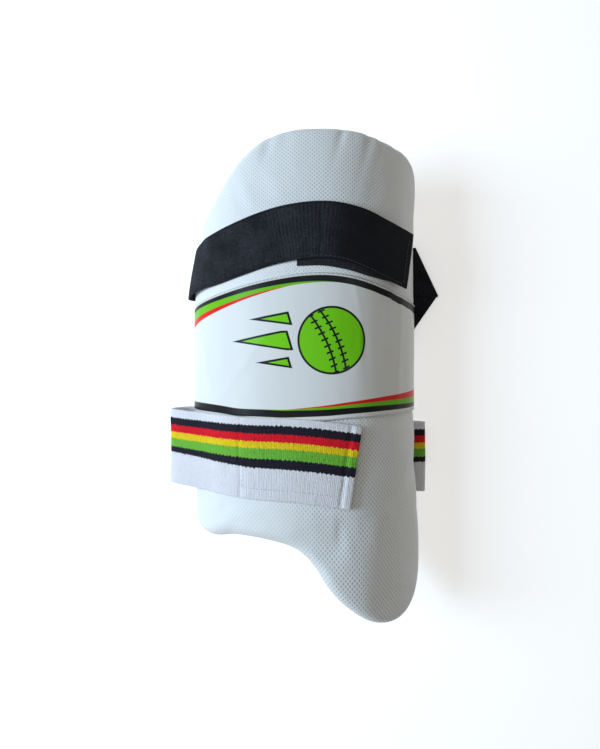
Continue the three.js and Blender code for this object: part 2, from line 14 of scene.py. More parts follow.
import bpy
import numpy as np
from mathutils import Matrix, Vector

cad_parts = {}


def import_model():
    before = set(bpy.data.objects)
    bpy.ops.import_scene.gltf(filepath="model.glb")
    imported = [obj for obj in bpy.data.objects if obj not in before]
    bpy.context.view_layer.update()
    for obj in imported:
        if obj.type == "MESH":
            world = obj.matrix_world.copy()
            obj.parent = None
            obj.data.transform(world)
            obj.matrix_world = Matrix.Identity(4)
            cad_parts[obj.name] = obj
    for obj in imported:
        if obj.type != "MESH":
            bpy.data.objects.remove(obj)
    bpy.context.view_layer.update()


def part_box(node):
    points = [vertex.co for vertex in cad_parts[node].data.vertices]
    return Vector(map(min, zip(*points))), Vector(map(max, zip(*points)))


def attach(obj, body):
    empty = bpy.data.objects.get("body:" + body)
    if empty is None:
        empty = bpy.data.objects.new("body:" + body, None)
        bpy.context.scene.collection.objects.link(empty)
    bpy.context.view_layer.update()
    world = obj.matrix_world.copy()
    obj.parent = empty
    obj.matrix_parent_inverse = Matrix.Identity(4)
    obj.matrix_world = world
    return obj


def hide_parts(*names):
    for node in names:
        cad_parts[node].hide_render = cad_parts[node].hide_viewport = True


LOG = logging.getLogger("thigh_guard")
Array = np.ndarray
Colour = tuple[float, float, float]

MM = 0.001
GAP = 0.3 * MM
SMOOTH = {"interpolation_type": "SMOOTHSTEP"}


def smoothstep(value: Array, low: float, high: float) -> Array:
    """Rises smoothly from 0 at low to 1 at high.

    Args:
        value: Where to read the step.
        low: Place where it starts.
        high: Place where it ends.

    Returns:
        3t^2 - 2t^3 of the clamped share t of the way from low to high.
    """
    share = np.clip((np.asarray(value, dtype=float) - low) / (high - low), 0.0, 1.0)
    return share * share * (3.0 - 2.0 * share)


def bump_of(value: Array, centre: float, width: float) -> Array:
    """A bell of height 1: exp(-((value - centre) / width)^2)."""
    return np.exp(-(((value - centre) / width) ** 2))


def lengths_of(points: Array) -> Array:
    """Distance of each point of a polyline from its first, along the line."""
    return np.concatenate([[0.0], np.cumsum(np.linalg.norm(np.diff(points, axis=0), axis=1))])


def read_at(at: Array, length: Array, rows: Array) -> Array:
    """Reads each column of rows at new lengths; the columns go on a new last axis."""
    return np.stack([np.interp(at, length, column) for column in rows.T], axis=-1)


def resample(points: Array, count: int, closed: bool) -> Array:
    """Places points at even steps of length along a dense polyline.

    Args:
        points: The polyline, one row a point.
        count: How many points to return.
        closed: Whether the line returns to its start.

    Returns:
        Array of count rows. A closed line's first point isn't repeated.
    """
    line = np.vstack([points, points[:1]]) if closed else points
    length = lengths_of(line)
    at = np.linspace(0.0, length[-1], count + int(closed))[:count]
    return read_at(at, length, line)


def through_points(points: Array, closed: bool, fine: int = 40) -> Array:
    """A smooth line through chosen points, by centripetal Catmull-Rom spans.

    Args:
        points: Chosen points, one row each.
        closed: Whether the line returns to its start.
        fine: Samples on each span.

    Returns:
        Dense polyline along the curve.
    """
    if closed:
        before, start = np.roll(points, 1, axis=0), points
        end, after = np.roll(points, -1, axis=0), np.roll(points, -2, axis=0)
    else:
        head = 2.0 * points[:1] - points[1:2]
        tail = 2.0 * points[-1:] - points[-2:-1]
        line = np.vstack([head, points, tail])
        before, start, end, after = line[:-3], line[1:-2], line[2:-1], line[3:]
    knots = [np.sqrt(np.linalg.norm(b - a, axis=1, keepdims=True)) for a, b in
             ((before, start), (start, end), (end, after))]
    first, middle, last = knots
    leave = (start - before) / first - (end - before) / (first + middle) + (end - start) / middle
    arrive = (end - start) / middle - (after - start) / (middle + last) + (after - end) / last
    leave, arrive = leave * middle, arrive * middle
    t = np.linspace(0.0, 1.0, fine, endpoint=False)[None, :, None]
    start, end, leave, arrive = (part[:, None, :] for part in (start, end, leave, arrive))
    curve = (start + leave * t + (3.0 * (end - start) - 2.0 * leave - arrive) * t**2
             + (2.0 * (start - end) + leave + arrive) * t**3)
    flat = curve.reshape(-1, points.shape[1])
    return flat if closed else np.vstack([flat, points[-1:]])


class Side(Enum):
    """A long side of the pad: towards the other thigh or away from it."""

    INNER = -1
    OUTER = 1


@dataclass(frozen=True)
class PadForm:
    """The pad's curved outer face and its outline, in metres from the photograph's middle."""

    length: float = 409 * MM
    rise: float = 88 * MM
    inner_reach: float = 122 * MM
    outer_reach: float = 81 * MM
    ridge_offset: float = 24 * MM
    ridge_blend: float = math.radians(35)
    thickness: float = 19 * MM
    foot_flare: float = 4 * MM
    top_flare: float = 2 * MM
    top_share: float = 0.482
    strap_layer: float = 2.2 * MM + GAP
    outline: tuple[tuple[float, float], ...] = (
        (-0.064, 0.482), (0.19, 0.478), (0.42, 0.470), (0.64, 0.463), (0.81, 0.447),
        (0.93, 0.417), (0.985, 0.375), (1.0, 0.31), (1.0, 0.155), (1.0, 0.0),
        (1.0, -0.155), (1.0, -0.31), (0.985, -0.385), (0.905, -0.438), (0.78, -0.474),
        (0.62, -0.499), (0.46, -0.505), (0.3, -0.493), (0.1, -0.454), (-0.01, -0.419),
        (-0.085, -0.376), (-0.175, -0.345), (-0.315, -0.331), (-0.52, -0.328),
        (-0.73, -0.341), (-0.87, -0.327), (-0.93, -0.287), (-0.968, -0.225),
        (-1.0, -0.14), (-1.0, 0.0), (-1.0, 0.14), (-0.985, 0.2), (-0.935, 0.262),
        (-0.85, 0.303), (-0.775, 0.337), (-0.685, 0.366), (-0.59, 0.402),
        (-0.485, 0.437), (-0.35, 0.468), (-0.2, 0.481),
    )
    walk: Array = field(init=False, repr=False, default=None)

    def __post_init__(self) -> None:
        """Walks the section once: distance from the ridge, place and outward normal."""
        turn = np.linspace(-math.pi / 2, math.pi / 2, 4001)
        share = smoothstep(turn, -self.ridge_blend, self.ridge_blend)
        reach = self.inner_reach + (self.outer_reach - self.inner_reach) * share
        x, z = reach * np.sin(turn), self.rise * np.cos(turn)
        along = np.concatenate([[0.0], np.cumsum(np.hypot(np.diff(x), np.diff(z)))])
        along -= along[2000]
        run_x, run_z = np.gradient(x, along), np.gradient(z, along)
        size = np.hypot(run_x, run_z)
        walk = np.stack([along, x, z, -run_z / size, run_x / size])
        object.__setattr__(self, "walk", walk)

    def section(self, along: Array) -> tuple[Array, Array, Array, Array]:
        """Place (x, z) and normal (x, z) of the outer face at a distance from the ridge."""
        return tuple(np.interp(along, self.walk[0], self.walk[k]) for k in (1, 2, 3, 4))

    def over(self, along: Array, y: Array, height: Array) -> Array:
        """Points at a height over the outer face, flared on the outer side.

        Args:
            along: Distance along the section from the ridge.
            y: Distance along the guard.
            height: Height over the face, along the section's normal.

        Returns:
            Array of points with a last axis of x, y, z.
        """
        x, z, normal_x, normal_z = self.section(along)
        foot = self.foot_flare * smoothstep(-y / self.length, 0.15, 0.42)
        top = self.top_flare * smoothstep(y / self.length, 0.25, 0.45)
        flare = (foot + top) * smoothstep(x / self.outer_reach, 0.0, 1.0)
        y = np.broadcast_to(y, np.broadcast(x, y, height).shape)
        return np.stack(np.broadcast_arrays(
            self.ridge_offset + x + normal_x * height + flare, y, z + normal_z * height), axis=-1)

    def rim_centre(self, side: Side) -> float:
        """Finds where the rounded rim starts, just clear of the straps under it.

        Args:
            side: The long side of the pad.

        Returns:
            Distance from the ridge to the centre of the rim.
        """
        clear = self.strap_layer * (1 if side is Side.INNER else 2)
        along, _, z, _, normal_z = self.walk
        middle = z - normal_z * self.thickness / 2
        high = (along * side.value > 0) & (middle > clear + self.thickness / 2)
        return float(np.max(along[high] * side.value))

    def along_for(self, share: Array) -> Array:
        """Turns shares of the way to the rims' edges into distances along the face.

        Args:
            share: From -1 at the inner rim's edge to 1 at the outer rim's.

        Returns:
            Distances from the ridge, less than 0 on the inner side.
        """
        share = np.asarray(share, dtype=float)
        inner, outer = (self.rim_centre(side) + self.thickness / 2 for side in Side)
        return np.where(share < 0, share * inner, share * outer)

    def outline_ring(self, count: int) -> Array:
        """Lays the outline out in the unrolled face.

        Args:
            count: How many points.

        Returns:
            Points at even steps, as rows of distance from the ridge and y.
        """
        rows = np.array(self.outline)
        corners = np.stack([self.along_for(rows[:, 0]), rows[:, 1] * self.length], axis=1)
        return resample(through_points(corners, closed=True), count, closed=True)


FORM = PadForm()


class MeshKit:
    """Builds mesh objects from arrays."""

    @staticmethod
    def build(name: str, points: Array, faces: Array, uv: Array | None = None,
              extra: Array | None = None) -> bpy.types.Object:
        """Puts points, faces and per-point UV maps into a new smooth mesh object.

        Args:
            name: The piece's name.
            points: Vertex places, one row each.
            faces: Quads as rows of four indices. A triangle repeats its last index.
            uv: Unrolled coordinates of each vertex, in metres.
            extra: A second pair of coordinates of each vertex.

        Returns:
            The new object, linked to the scene.
        """
        triangle = faces[:, 2] == faces[:, 3]
        polygons = [tuple(row[:3]) if flat else tuple(row)
                    for row, flat in zip(faces.tolist(), triangle.tolist())]
        mesh = bpy.data.meshes.new(name)
        mesh.from_pydata(points.tolist(), [], polygons)
        mesh.update()
        corner = np.empty(len(mesh.loops), dtype=np.int32)
        mesh.loops.foreach_get("vertex_index", corner)
        for label, values in (("UVMap", uv), ("Edges", extra)):
            if values is not None:
                layer = mesh.uv_layers.new(name=label)
                layer.data.foreach_set("uv", values[corner].astype(np.float32).ravel())
        mesh.polygons.foreach_set("use_smooth", np.ones(len(mesh.polygons), dtype=bool))
        piece = bpy.data.objects.new(name, mesh)
        bpy.context.scene.collection.objects.link(piece)
        return piece

    @staticmethod
    def volume(points: Array, faces: Array) -> float:
        """Signed volume inside a closed set of faces.

        Args:
            points: Vertex places, one row each.
            faces: Quads as rows of four indices.

        Returns:
            The volume, positive where the faces point out.
        """
        total = 0.0
        for a, b, c in ((0, 1, 2), (0, 2, 3)):
            p, q, r = points[faces[:, a]], points[faces[:, b]], points[faces[:, c]]
            total += float(np.einsum("ij,ij->", p, np.cross(q, r))) / 6.0
        return total

    @classmethod
    def slab(cls, name: str, inner: Array, outer: Array, uv: Array,
             extra: Array | None = None) -> bpy.types.Object:
        """A closed slab between two grids of points that share their border.

        Each grid has rows along the piece and columns across it. The border of both
        grids is drawn together to the middle of the thickness, so the slab is closed.

        Args:
            name: The piece's name.
            inner: Grid of points of the inner face.
            outer: Grid of points of the outer face.
            uv: Unrolled coordinates of the grid.
            extra: A second pair of coordinates of the grid.

        Returns:
            The new object.
        """
        rows, columns = inner.shape[:2]
        index = np.arange(rows * columns).reshape(rows, columns)
        inside = np.zeros((rows, columns), dtype=bool)
        inside[1:-1, 1:-1] = True
        lower = index.copy()
        lower[inside] = rows * columns + np.arange(inside.sum())
        outer = outer.copy()
        border = ~inside
        outer[border] = 0.5 * (inner[border] + outer[border])
        points = np.vstack([outer.reshape(-1, 3), inner[inside]])
        coordinates = np.vstack([uv.reshape(-1, 2), uv[inside]])
        second = None if extra is None else np.vstack([extra.reshape(-1, 2), extra[inside]])
        top = np.stack([index[:-1, :-1], index[1:, :-1], index[1:, 1:], index[:-1, 1:]], axis=-1)
        base = np.stack([lower[:-1, :-1], lower[:-1, 1:], lower[1:, 1:], lower[1:, :-1]], axis=-1)
        faces = np.vstack([top.reshape(-1, 4), base.reshape(-1, 4)])
        if cls.volume(points, faces) < 0:
            faces = faces[:, ::-1]
        return cls.build(name, points, faces, coordinates, second)


def edge_steps(count: int, length: float, radius: float, fine: int = 4) -> Array:
    """Places across a slab, from 0 to length, with close steps round both edges.

    Args:
        count: Steps between the rounded edges.
        length: Whole breadth.
        radius: Radius of the rounded edges.
        fine: Steps round each edge.

    Returns:
        Rising places that start at 0 and end at length.
    """
    turn = np.linspace(0.0, math.pi / 2, fine + 1)
    near = radius * (1.0 - np.cos(turn))
    middle = np.linspace(radius, length - radius, count + 1)[1:-1]
    return np.concatenate([near, middle, length - near[::-1]])


def edge_fullness(place: Array, length: float, radius: float) -> Array:
    """Share of the thickness at a place across a slab with half-round edges."""
    depth = np.clip(np.minimum(place, length - place) / radius, 0.0, 1.0)
    return np.sqrt(np.clip(1.0 - (1.0 - depth) ** 2, 0.0, 1.0))


@dataclass
class CoverSwell:
    """A light cloth simulation: pressure swells the cover between the lines that hold it."""

    pressure: float = 4.0
    last_frame: int = 20
    most: float = 1.8 * MM
    slack: float = -0.012
    rounds: int = 6

    def run(self, points: Array, faces: Array, free: Array) -> Array:
        """Inflates a coarse closed cover and reads how far its points have moved.

        Args:
            points: Points of the cover at rest.
            faces: Its faces.
            free: Share from 0 to 1 at each point; less than a half is pinned.

        Returns:
            Each point's movement, no longer than the most allowed.
        """
        piece = MeshKit.build("cover_at_rest", points, faces)
        held = piece.vertex_groups.new(name="held")
        held.add(np.flatnonzero(free < 0.5).tolist(), 1.0, "REPLACE")
        cloth = piece.modifiers.new("cloth", "CLOTH")
        for label, value in (
            ("quality", 6), ("mass", 0.25), ("tension_stiffness", 12.0), ("compression_stiffness", 12.0),
            ("bending_stiffness", 0.4), ("use_pressure", True), ("uniform_pressure_force", self.pressure),
            ("vertex_group_mass", held.name), ("shrink_min", self.slack),
        ):
            setattr(cloth.settings, label, value)
        cloth.settings.effector_weights.gravity = 0.0
        cloth.collision_settings.use_collision = False
        cloth.point_cache.frame_start = 1
        cloth.point_cache.frame_end = self.last_frame
        scene = bpy.context.scene
        for frame in range(1, self.last_frame + 1):
            scene.frame_set(frame)
        result = piece.evaluated_get(bpy.context.evaluated_depsgraph_get())
        places = np.empty(len(points) * 3, dtype=np.float32)
        result.data.vertices.foreach_get("co", places)
        bpy.data.objects.remove(piece)
        scene.frame_set(1)
        moved = places.reshape(-1, 3) - points
        size = np.linalg.norm(moved, axis=1, keepdims=True)
        return moved * np.minimum(1.0, self.most / np.maximum(size, 1e-9))

    def finer(self, moved: Array, few: Array, station: Array, around: int) -> Array:
        """Carries the coarse movement to the fine rings, then smooths it.

        Each column is read in straight lines between stations, each ring between its
        points, and then averaged 1:2:1 with its neighbours in a few rounds.

        Args:
            moved: Movement at each coarse ring and point.
            few: Station of each coarse ring.
            station: Station of each fine ring.
            around: Points on a fine ring.

        Returns:
            Movement at each fine ring and point.
        """
        count = moved.shape[1]
        turn = np.arange(around) * count / around
        before = turn.astype(int)
        share = (turn - before)[None, :, None]
        ring = moved[:, before] * (1 - share) + moved[:, (before + 1) % count] * share
        place = np.interp(-station, -few, np.arange(len(few)))
        low = np.minimum(place.astype(int), len(few) - 2)
        part = (place - low)[:, None, None]
        fine = ring[low] * (1 - part) + ring[low + 1] * part
        for _ in range(self.rounds):
            fine = (np.roll(fine, 1, axis=1) + 2 * fine + np.roll(fine, -1, axis=1)) / 4
            fine[1:-1] = (fine[:-2] + 2 * fine[1:-1] + fine[2:]) / 4
        return fine


@dataclass
class GuardPad:
    """The padded body: a wall of foam under a stretched mesh cover, with a rounded rim."""

    form: PadForm = FORM
    ring_points: int = 600
    rim_steps: int = 10
    face_rings: int = 52
    pucker_reach: float = 15 * MM
    puckers: tuple[tuple[float, float, float], ...] = (
        (-0.29, 0.035, 0.13), (0.09, 0.022, 0.10), (0.28, 0.025, 0.15), (0.38, 0.02, 0.10),
        (0.52, 0.03, 0.10),
    )
    small_puckers: tuple[tuple[float, float, float], ...] = (
        (-0.47, 0.02, 0.03), (-0.36, 0.016, 0.035), (-0.21, 0.018, 0.03), (-0.12, 0.014, 0.02),
        (0.17, 0.02, 0.03), (0.25, 0.015, 0.04), (0.42, 0.018, 0.05), (0.62, 0.02, 0.045),
        (0.7, 0.018, 0.035), (0.8, 0.02, 0.03),
    )
    middle_share: float = 0.08
    seam_bells: tuple[tuple[float, float, float], ...] = (
        (-0.7 * MM, 1.2 * MM, 1.6 * MM), (0.35 * MM, 5 * MM, 3 * MM),
    )
    pressed_depth: float = 3.6 * MM
    pressed_height: float = 112 * MM
    pressed_width: float = 13 * MM
    pressed_from: float = 106 * MM
    pressed_to: float = 136 * MM
    inner_seam: tuple[float, float, float] = (0.5 * MM, 16 * MM, 1.6 * MM)
    ring_spread: float = 100 * MM

    def pucker_depth(self, along: Array, y: Array) -> Array:
        """How far the cover sinks in its puckers, fading down from the top rim.

        Each pucker is a bell across the face, leaning inwards as it goes down, times a
        fall of exp(-distance / reach).

        Args:
            along: Distance from the ridge.
            y: Distance along the guard.

        Returns:
            Depth at each point.
        """
        form = self.form
        reach = form.rim_centre(Side.OUTER) + form.thickness / 2
        below = np.maximum(form.top_share * form.length - y, 0.0)
        depth = np.zeros_like(along)
        for rows, share in ((self.puckers, 1.0), (self.small_puckers, 0.5)):
            fade = np.exp(-below / (share * self.pucker_reach))
            for across, width, deep in rows:
                bell = bump_of(along + 0.3 * below, float(form.along_for(across)), width * reach)
                depth += deep * form.thickness * bell * fade
        return depth

    def cover_relief(self, along: Array, y: Array) -> Array:
        """Height of the stretched cover over the foam: a few slow waves and the seams.

        The waves are products of sines 80 to 310 mm long. Beside the printed skin a
        narrow bell sinks the seam and a wide one swells beyond it. The upper strap's
        edge presses a shallow bell into the inner rim.

        Args:
            along: Distance from the ridge.
            y: Distance along the guard.

        Returns:
            Height at each point, less than 0 where the cover sinks.
        """
        relief = 0.22 * MM * np.sin(along / 0.021 + 1.3) * np.sin(y / 0.017 + along / 0.05)
        relief += 0.18 * MM * np.sin(along / 0.013 - y / 0.031 + 0.7)
        top, bottom = PrintPanel.edge_lines(along)
        beyond = np.maximum(y - top, bottom - y)
        for height, away, width in self.seam_bells:
            relief += height * bump_of(beyond, away, width)
        pressed = bump_of(y, self.pressed_height, self.pressed_width)
        return relief - self.pressed_depth * pressed * smoothstep(-along, self.pressed_from, self.pressed_to)

    def grid(self) -> tuple[Array, Array, Array]:
        """Works out the pad as rings: the outer face, the rim and the inner face.

        A rim ring at turn a lies r(1 - cos a) inside the outline, r sin a off the middle
        of the wall. Face rings shrink towards a point of the unrolled face.

        Returns:
            Rings of points, their unrolled coordinates, and each ring's station: 2 at
            the outer face's middle, 1 at the rim, 0 at its edge, -2 at the inner middle.
        """
        form = self.form
        radius = form.thickness / 2
        outline = form.outline_ring(self.ring_points)
        ahead = np.roll(outline, -1, axis=0) - np.roll(outline, 1, axis=0)
        ahead /= np.linalg.norm(ahead, axis=1, keepdims=True)
        inward = np.stack([ahead[:, 1], -ahead[:, 0]], axis=1)
        turn = np.linspace(0.0, math.pi / 2, self.rim_steps + 1)
        places = [outline + inward * radius * (1 - math.cos(a)) for a in turn]
        coordinates = [outline + inward * (radius - radius * (math.pi / 2 - a)) for a in turn]
        halves = [radius * math.sin(a) for a in turn]
        middle = self.middle()
        for share in np.linspace(1.0, 0.0, self.face_rings + 1)[1:-1]:
            places.append(middle + (places[self.rim_steps] - middle) * share)
            coordinates.append(places[-1])
            halves.append(radius)
        place, coordinate, half = np.array(places), np.array(coordinates), np.array(halves)

        fullness = (half / radius)[:, None]
        lift = self.cover_relief(place[..., 0], place[..., 1])
        sunk = self.pucker_depth(place[..., 0], place[..., 1])
        outer = form.over(place[..., 0], place[..., 1],
                          half[:, None] - radius + (lift - sunk) * fullness)
        height, away, width = self.inner_seam
        inner_lift = height * bump_of(self.ring_depth(len(halves), radius), away, width)
        inner = form.over(place[..., 0], place[..., 1], -half[:, None] - radius + inner_lift[:, None])
        face = 1.0 + np.arange(1, self.face_rings) / self.face_rings
        station = np.concatenate([turn / (math.pi / 2), face])
        return (np.concatenate([outer[::-1], inner[1:]]), np.concatenate([coordinate[::-1], coordinate[1:]]),
                np.concatenate([station[::-1], -station[1:]]))

    def middle(self) -> Array:
        """The point of the unrolled face that the rings shrink to."""
        return np.array([float(self.form.along_for(self.middle_share)), 0.0])

    def closed(self, rings: Array) -> tuple[Array, Array]:
        """Closes the pad's rings, each middle by a fan.

        Args:
            rings: Rings of points, as grid gives them.

        Returns:
            Points, with the two middles last, and outward faces.
        """
        count, around = rings.shape[:2]
        middle = self.middle()
        crown = self.form.over(middle[0], middle[1], 0.0)
        sole = self.form.over(middle[0], middle[1], -self.form.thickness)
        index = np.arange(count * around).reshape(count, around)
        after = np.roll(index, -1, axis=1)
        quads = np.stack([index[:-1], after[:-1], after[1:], index[1:]], axis=-1).reshape(-1, 4)
        spread = np.full(around, count * around)
        cap = np.stack([after[0], index[0], spread, spread], axis=-1)
        low = np.stack([index[-1], after[-1], spread + 1, spread + 1], axis=-1)
        points = np.vstack([rings.reshape(-1, 3), crown.reshape(1, 3), sole.reshape(1, 3)])
        faces = np.vstack([quads, cap, low])
        if MeshKit.volume(points, faces) < 0:
            faces = np.where((faces[:, 2] == faces[:, 3])[:, None], faces[:, [1, 0, 2, 2]], faces[:, ::-1])
        return points, faces

    def freedom(self, unrolled: Array, station: Array) -> Array:
        """Share from 0, held, to 1, free, of how far the cover may move at each point.

        It is held under the printed skin and the straps, and on the thigh's side.

        Args:
            unrolled: Distance from the ridge and y of each point.
            station: Station of each ring.

        Returns:
            The share at each ring and point.
        """
        along, y = unrolled[..., 0], unrolled[..., 1]
        top, bottom = PrintPanel.edge_lines(along)
        free = smoothstep(np.maximum(y - top, bottom - y), 1 * MM, 12 * MM)
        for strap, reach in ((UpperStrap(), 1.0), (LowerStrap(), 0.3)):
            line = through_points(strap.line().points(), closed=False)
            away = np.abs(y - np.interp(along, line[:, 0], line[:, 1])) - strap.width / 2
            beyond = along - float(self.form.along_for(reach))
            free = free * smoothstep(np.maximum(away, beyond), 1 * MM, 10 * MM)
        return free * smoothstep(station, 0.0, 0.8)[:, None]

    def build(self) -> bpy.types.Object:
        """Makes the pad's cover, swollen a little by the cloth simulation."""
        rings, unrolled, station = self.grid()
        coarse, swell = GuardPad(ring_points=240, rim_steps=4, face_rings=22), CoverSwell()
        few, few_unrolled, few_station = coarse.grid()
        points, faces = coarse.closed(few)
        free = np.append(coarse.freedom(few_unrolled, few_station).ravel(), [0.0, 0.0])
        moved = swell.run(points, faces, free)[:-2].reshape(few.shape)
        moved = swell.finer(moved, few_station, station, self.ring_points)
        rings = rings + moved * self.freedom(unrolled, station)[..., None]
        LOG.info("cover moved by up to %.2f mm", np.abs(moved).max() / MM)
        points, faces = self.closed(rings)
        coordinates = np.vstack([unrolled.reshape(-1, 2), self.middle(), self.middle()])
        return MeshKit.build("guard_pad_cover", points, faces, coordinates)

    def ring_depth(self, count: int, radius: float) -> Array:
        """Estimates how far each ring lies inside the rim's edge.

        Args:
            count: How many rings.
            radius: Radius of the rim.

        Returns:
            Distance of each ring, for the seam inside the rim.
        """
        rim = radius * (1 - np.cos(np.linspace(0.0, math.pi / 2, self.rim_steps + 1)))
        face = radius + np.arange(1, count - self.rim_steps) * self.ring_spread / self.face_rings
        return np.concatenate([rim, face])


class Part(Enum):
    """Where up the printed skin a crease shows."""

    WHOLE = "whole"
    UPPER = "upper"
    LOWER = "lower"


@dataclass(frozen=True)
class Crease:
    """An upright crease: a bell across the face, leaning by y and swaying along it."""

    height: float
    at: float
    width: float
    lean: float = 0.0
    sway: float = 0.0
    part: Part = Part.WHOLE

    def over(self, along: Array, y: Array) -> Array:
        """Height of the crease, before it fades up or down the skin."""
        place = self.at + self.lean * y + self.sway * np.sin(y / (20 * MM))
        return self.height * bump_of(along, place, self.width)


@dataclass
class PrintPanel:
    """The glossy printed skin that wraps the front between two curved seams."""

    thickness: float = 0.8 * MM
    along_steps: int = 330
    across_steps: int = 130

    TOP = 78.6 * MM
    TOP_BOW = 19 * MM
    BOTTOM = -38 * MM
    BOTTOM_BOW = 7 * MM
    ROWS = (
        (-0.94, 0.97, 1.0), (-0.61, 0.55, 0.8), (-0.41, 0.24, 0.36), (-0.26, 0.04, 0.0),
        (-0.14, -0.07, 0.08), (-0.02, -0.09, 0.22), (0.12, 0.01, 0.44), (0.3, 0.27, 0.64),
        (0.53, 0.6, 0.78), (0.92, 0.86, 0.88),
    )
    CREASES = (
        Crease(1.1 * MM, 22 * MM, 3.2 * MM, sway=3 * MM, part=Part.UPPER),
        Crease(-0.8 * MM, 30 * MM, 3 * MM, lean=-0.12, part=Part.UPPER),
        Crease(0.7 * MM, 45 * MM, 4 * MM, lean=0.1, part=Part.UPPER),
        Crease(-0.4 * MM, 12 * MM, 5 * MM),
        Crease(0.5 * MM, 66 * MM, 5 * MM, lean=0.06),
        Crease(0.35 * MM, -112 * MM, 6 * MM, lean=-0.35),
        Crease(0.4 * MM, -78 * MM, 5 * MM, lean=0.8, part=Part.LOWER),
    )

    @classmethod
    def dense_edges(cls) -> Array:
        """The smooth line through the panel's rows: along, top edge, bottom edge."""
        rows = np.array(cls.ROWS)
        points = np.stack([FORM.along_for(rows[:, 0]), cls.TOP - cls.TOP_BOW * rows[:, 1],
                           cls.BOTTOM + cls.BOTTOM_BOW * rows[:, 2]], axis=1)
        return through_points(points, closed=False)

    @classmethod
    def edge_lines(cls, along: Array) -> tuple[Array, Array]:
        """The y of the panel's top and bottom edges at a distance from the ridge."""
        line = cls.dense_edges()
        return np.interp(along, line[:, 0], line[:, 1]), np.interp(along, line[:, 0], line[:, 2])

    def relief(self, along: Array, y: Array, top: Array, bottom: Array) -> Array:
        """Height of the film's soft creases over the pad.

        Upright creases are bells across the face that fade towards the seams, where the
        stitches pull the film flat; slow waves add a little unevenness.

        Args:
            along: Distance from the ridge.
            y: Distance along the guard.
            top: The y of the skin's top edge.
            bottom: The y of its bottom edge.

        Returns:
            Height at each point.
        """
        share = (y - bottom) / (top - bottom)
        body = np.sin(np.clip(share, 0.0, 1.0) * math.pi) ** 0.5
        upper = smoothstep(share, 0.25, 0.85)
        shown = {Part.WHOLE: 1.0, Part.UPPER: upper, Part.LOWER: 1.0 - upper}
        creases = sum(crease.over(along, y) * shown[crease.part] for crease in self.CREASES)
        waves = 0.25 * MM * np.sin(along / 0.016 + y / 0.045) * np.cos(y / 0.014 - along / 0.06)
        return (creases + waves) * body

    def build(self) -> bpy.types.Object:
        """Makes the skin as a slab on the pad's face, with distances from both seams."""
        line = resample(self.dense_edges(), self.along_steps, closed=False)
        along, top, bottom = line[:, :1], line[:, 1:2], line[:, 2:3]
        share = np.linspace(0.0, 1.0, self.across_steps)[None, :]
        y = top + (bottom - top) * share
        spread = along + np.zeros_like(y)
        relief = self.relief(spread, y, top, bottom)
        edge = np.minimum(top - y, y - bottom)
        tuck = 0.25 * MM * np.exp(-edge / (2 * MM))
        inner = FORM.over(spread, y, GAP + np.maximum(relief, 0.0))
        rise = np.where(relief < 0, 0.4 * relief, relief)
        outer = FORM.over(spread, y, GAP + self.thickness + rise - tuck)
        uv = np.stack([spread, y], axis=-1)
        distances = np.stack([top - y, y - bottom], axis=-1)
        return MeshKit.slab("printed_skin", inner, outer, uv, distances)


@dataclass
class FrontLine:
    """A strap's centre line over the front, through rows of across, drop, stack, broad."""

    rows: tuple[tuple[float, float, float, float], ...]
    centre: float
    bow: float
    base: float
    stack: float

    def points(self) -> Array:
        """Along, y and height over the face at each row."""
        rows = np.array(self.rows)
        return np.stack([FORM.along_for(rows[:, 0]), self.centre - self.bow * rows[:, 1],
                         self.base + self.stack * rows[:, 2]], axis=1)

    def walk(self, count: int, start: float = 0.0, end: float = 1.0) -> tuple[Array, Array, Array]:
        """Reads the line at even steps of length.

        Args:
            count: How many stations.
            start: Share of the line's length where the walk starts.
            end: Share where it ends.

        Returns:
            The stations (along, y, height), the unit way across to the upper edge in
            the unrolled face, and each station's breadth as a share.
        """
        dense = through_points(self.points(), closed=False)
        length = lengths_of(dense)
        station = read_at(np.linspace(start, end, count) * length[-1], length, dense)
        run = np.gradient(station[:, :2], axis=0)
        run /= np.linalg.norm(run, axis=1, keepdims=True)
        side = np.stack([-run[:, 1], run[:, 0]], axis=1)
        rows = np.array(self.rows)
        broad = np.interp(station[:, 0], FORM.along_for(rows[:, 0]), rows[:, 3])
        return station, side, broad


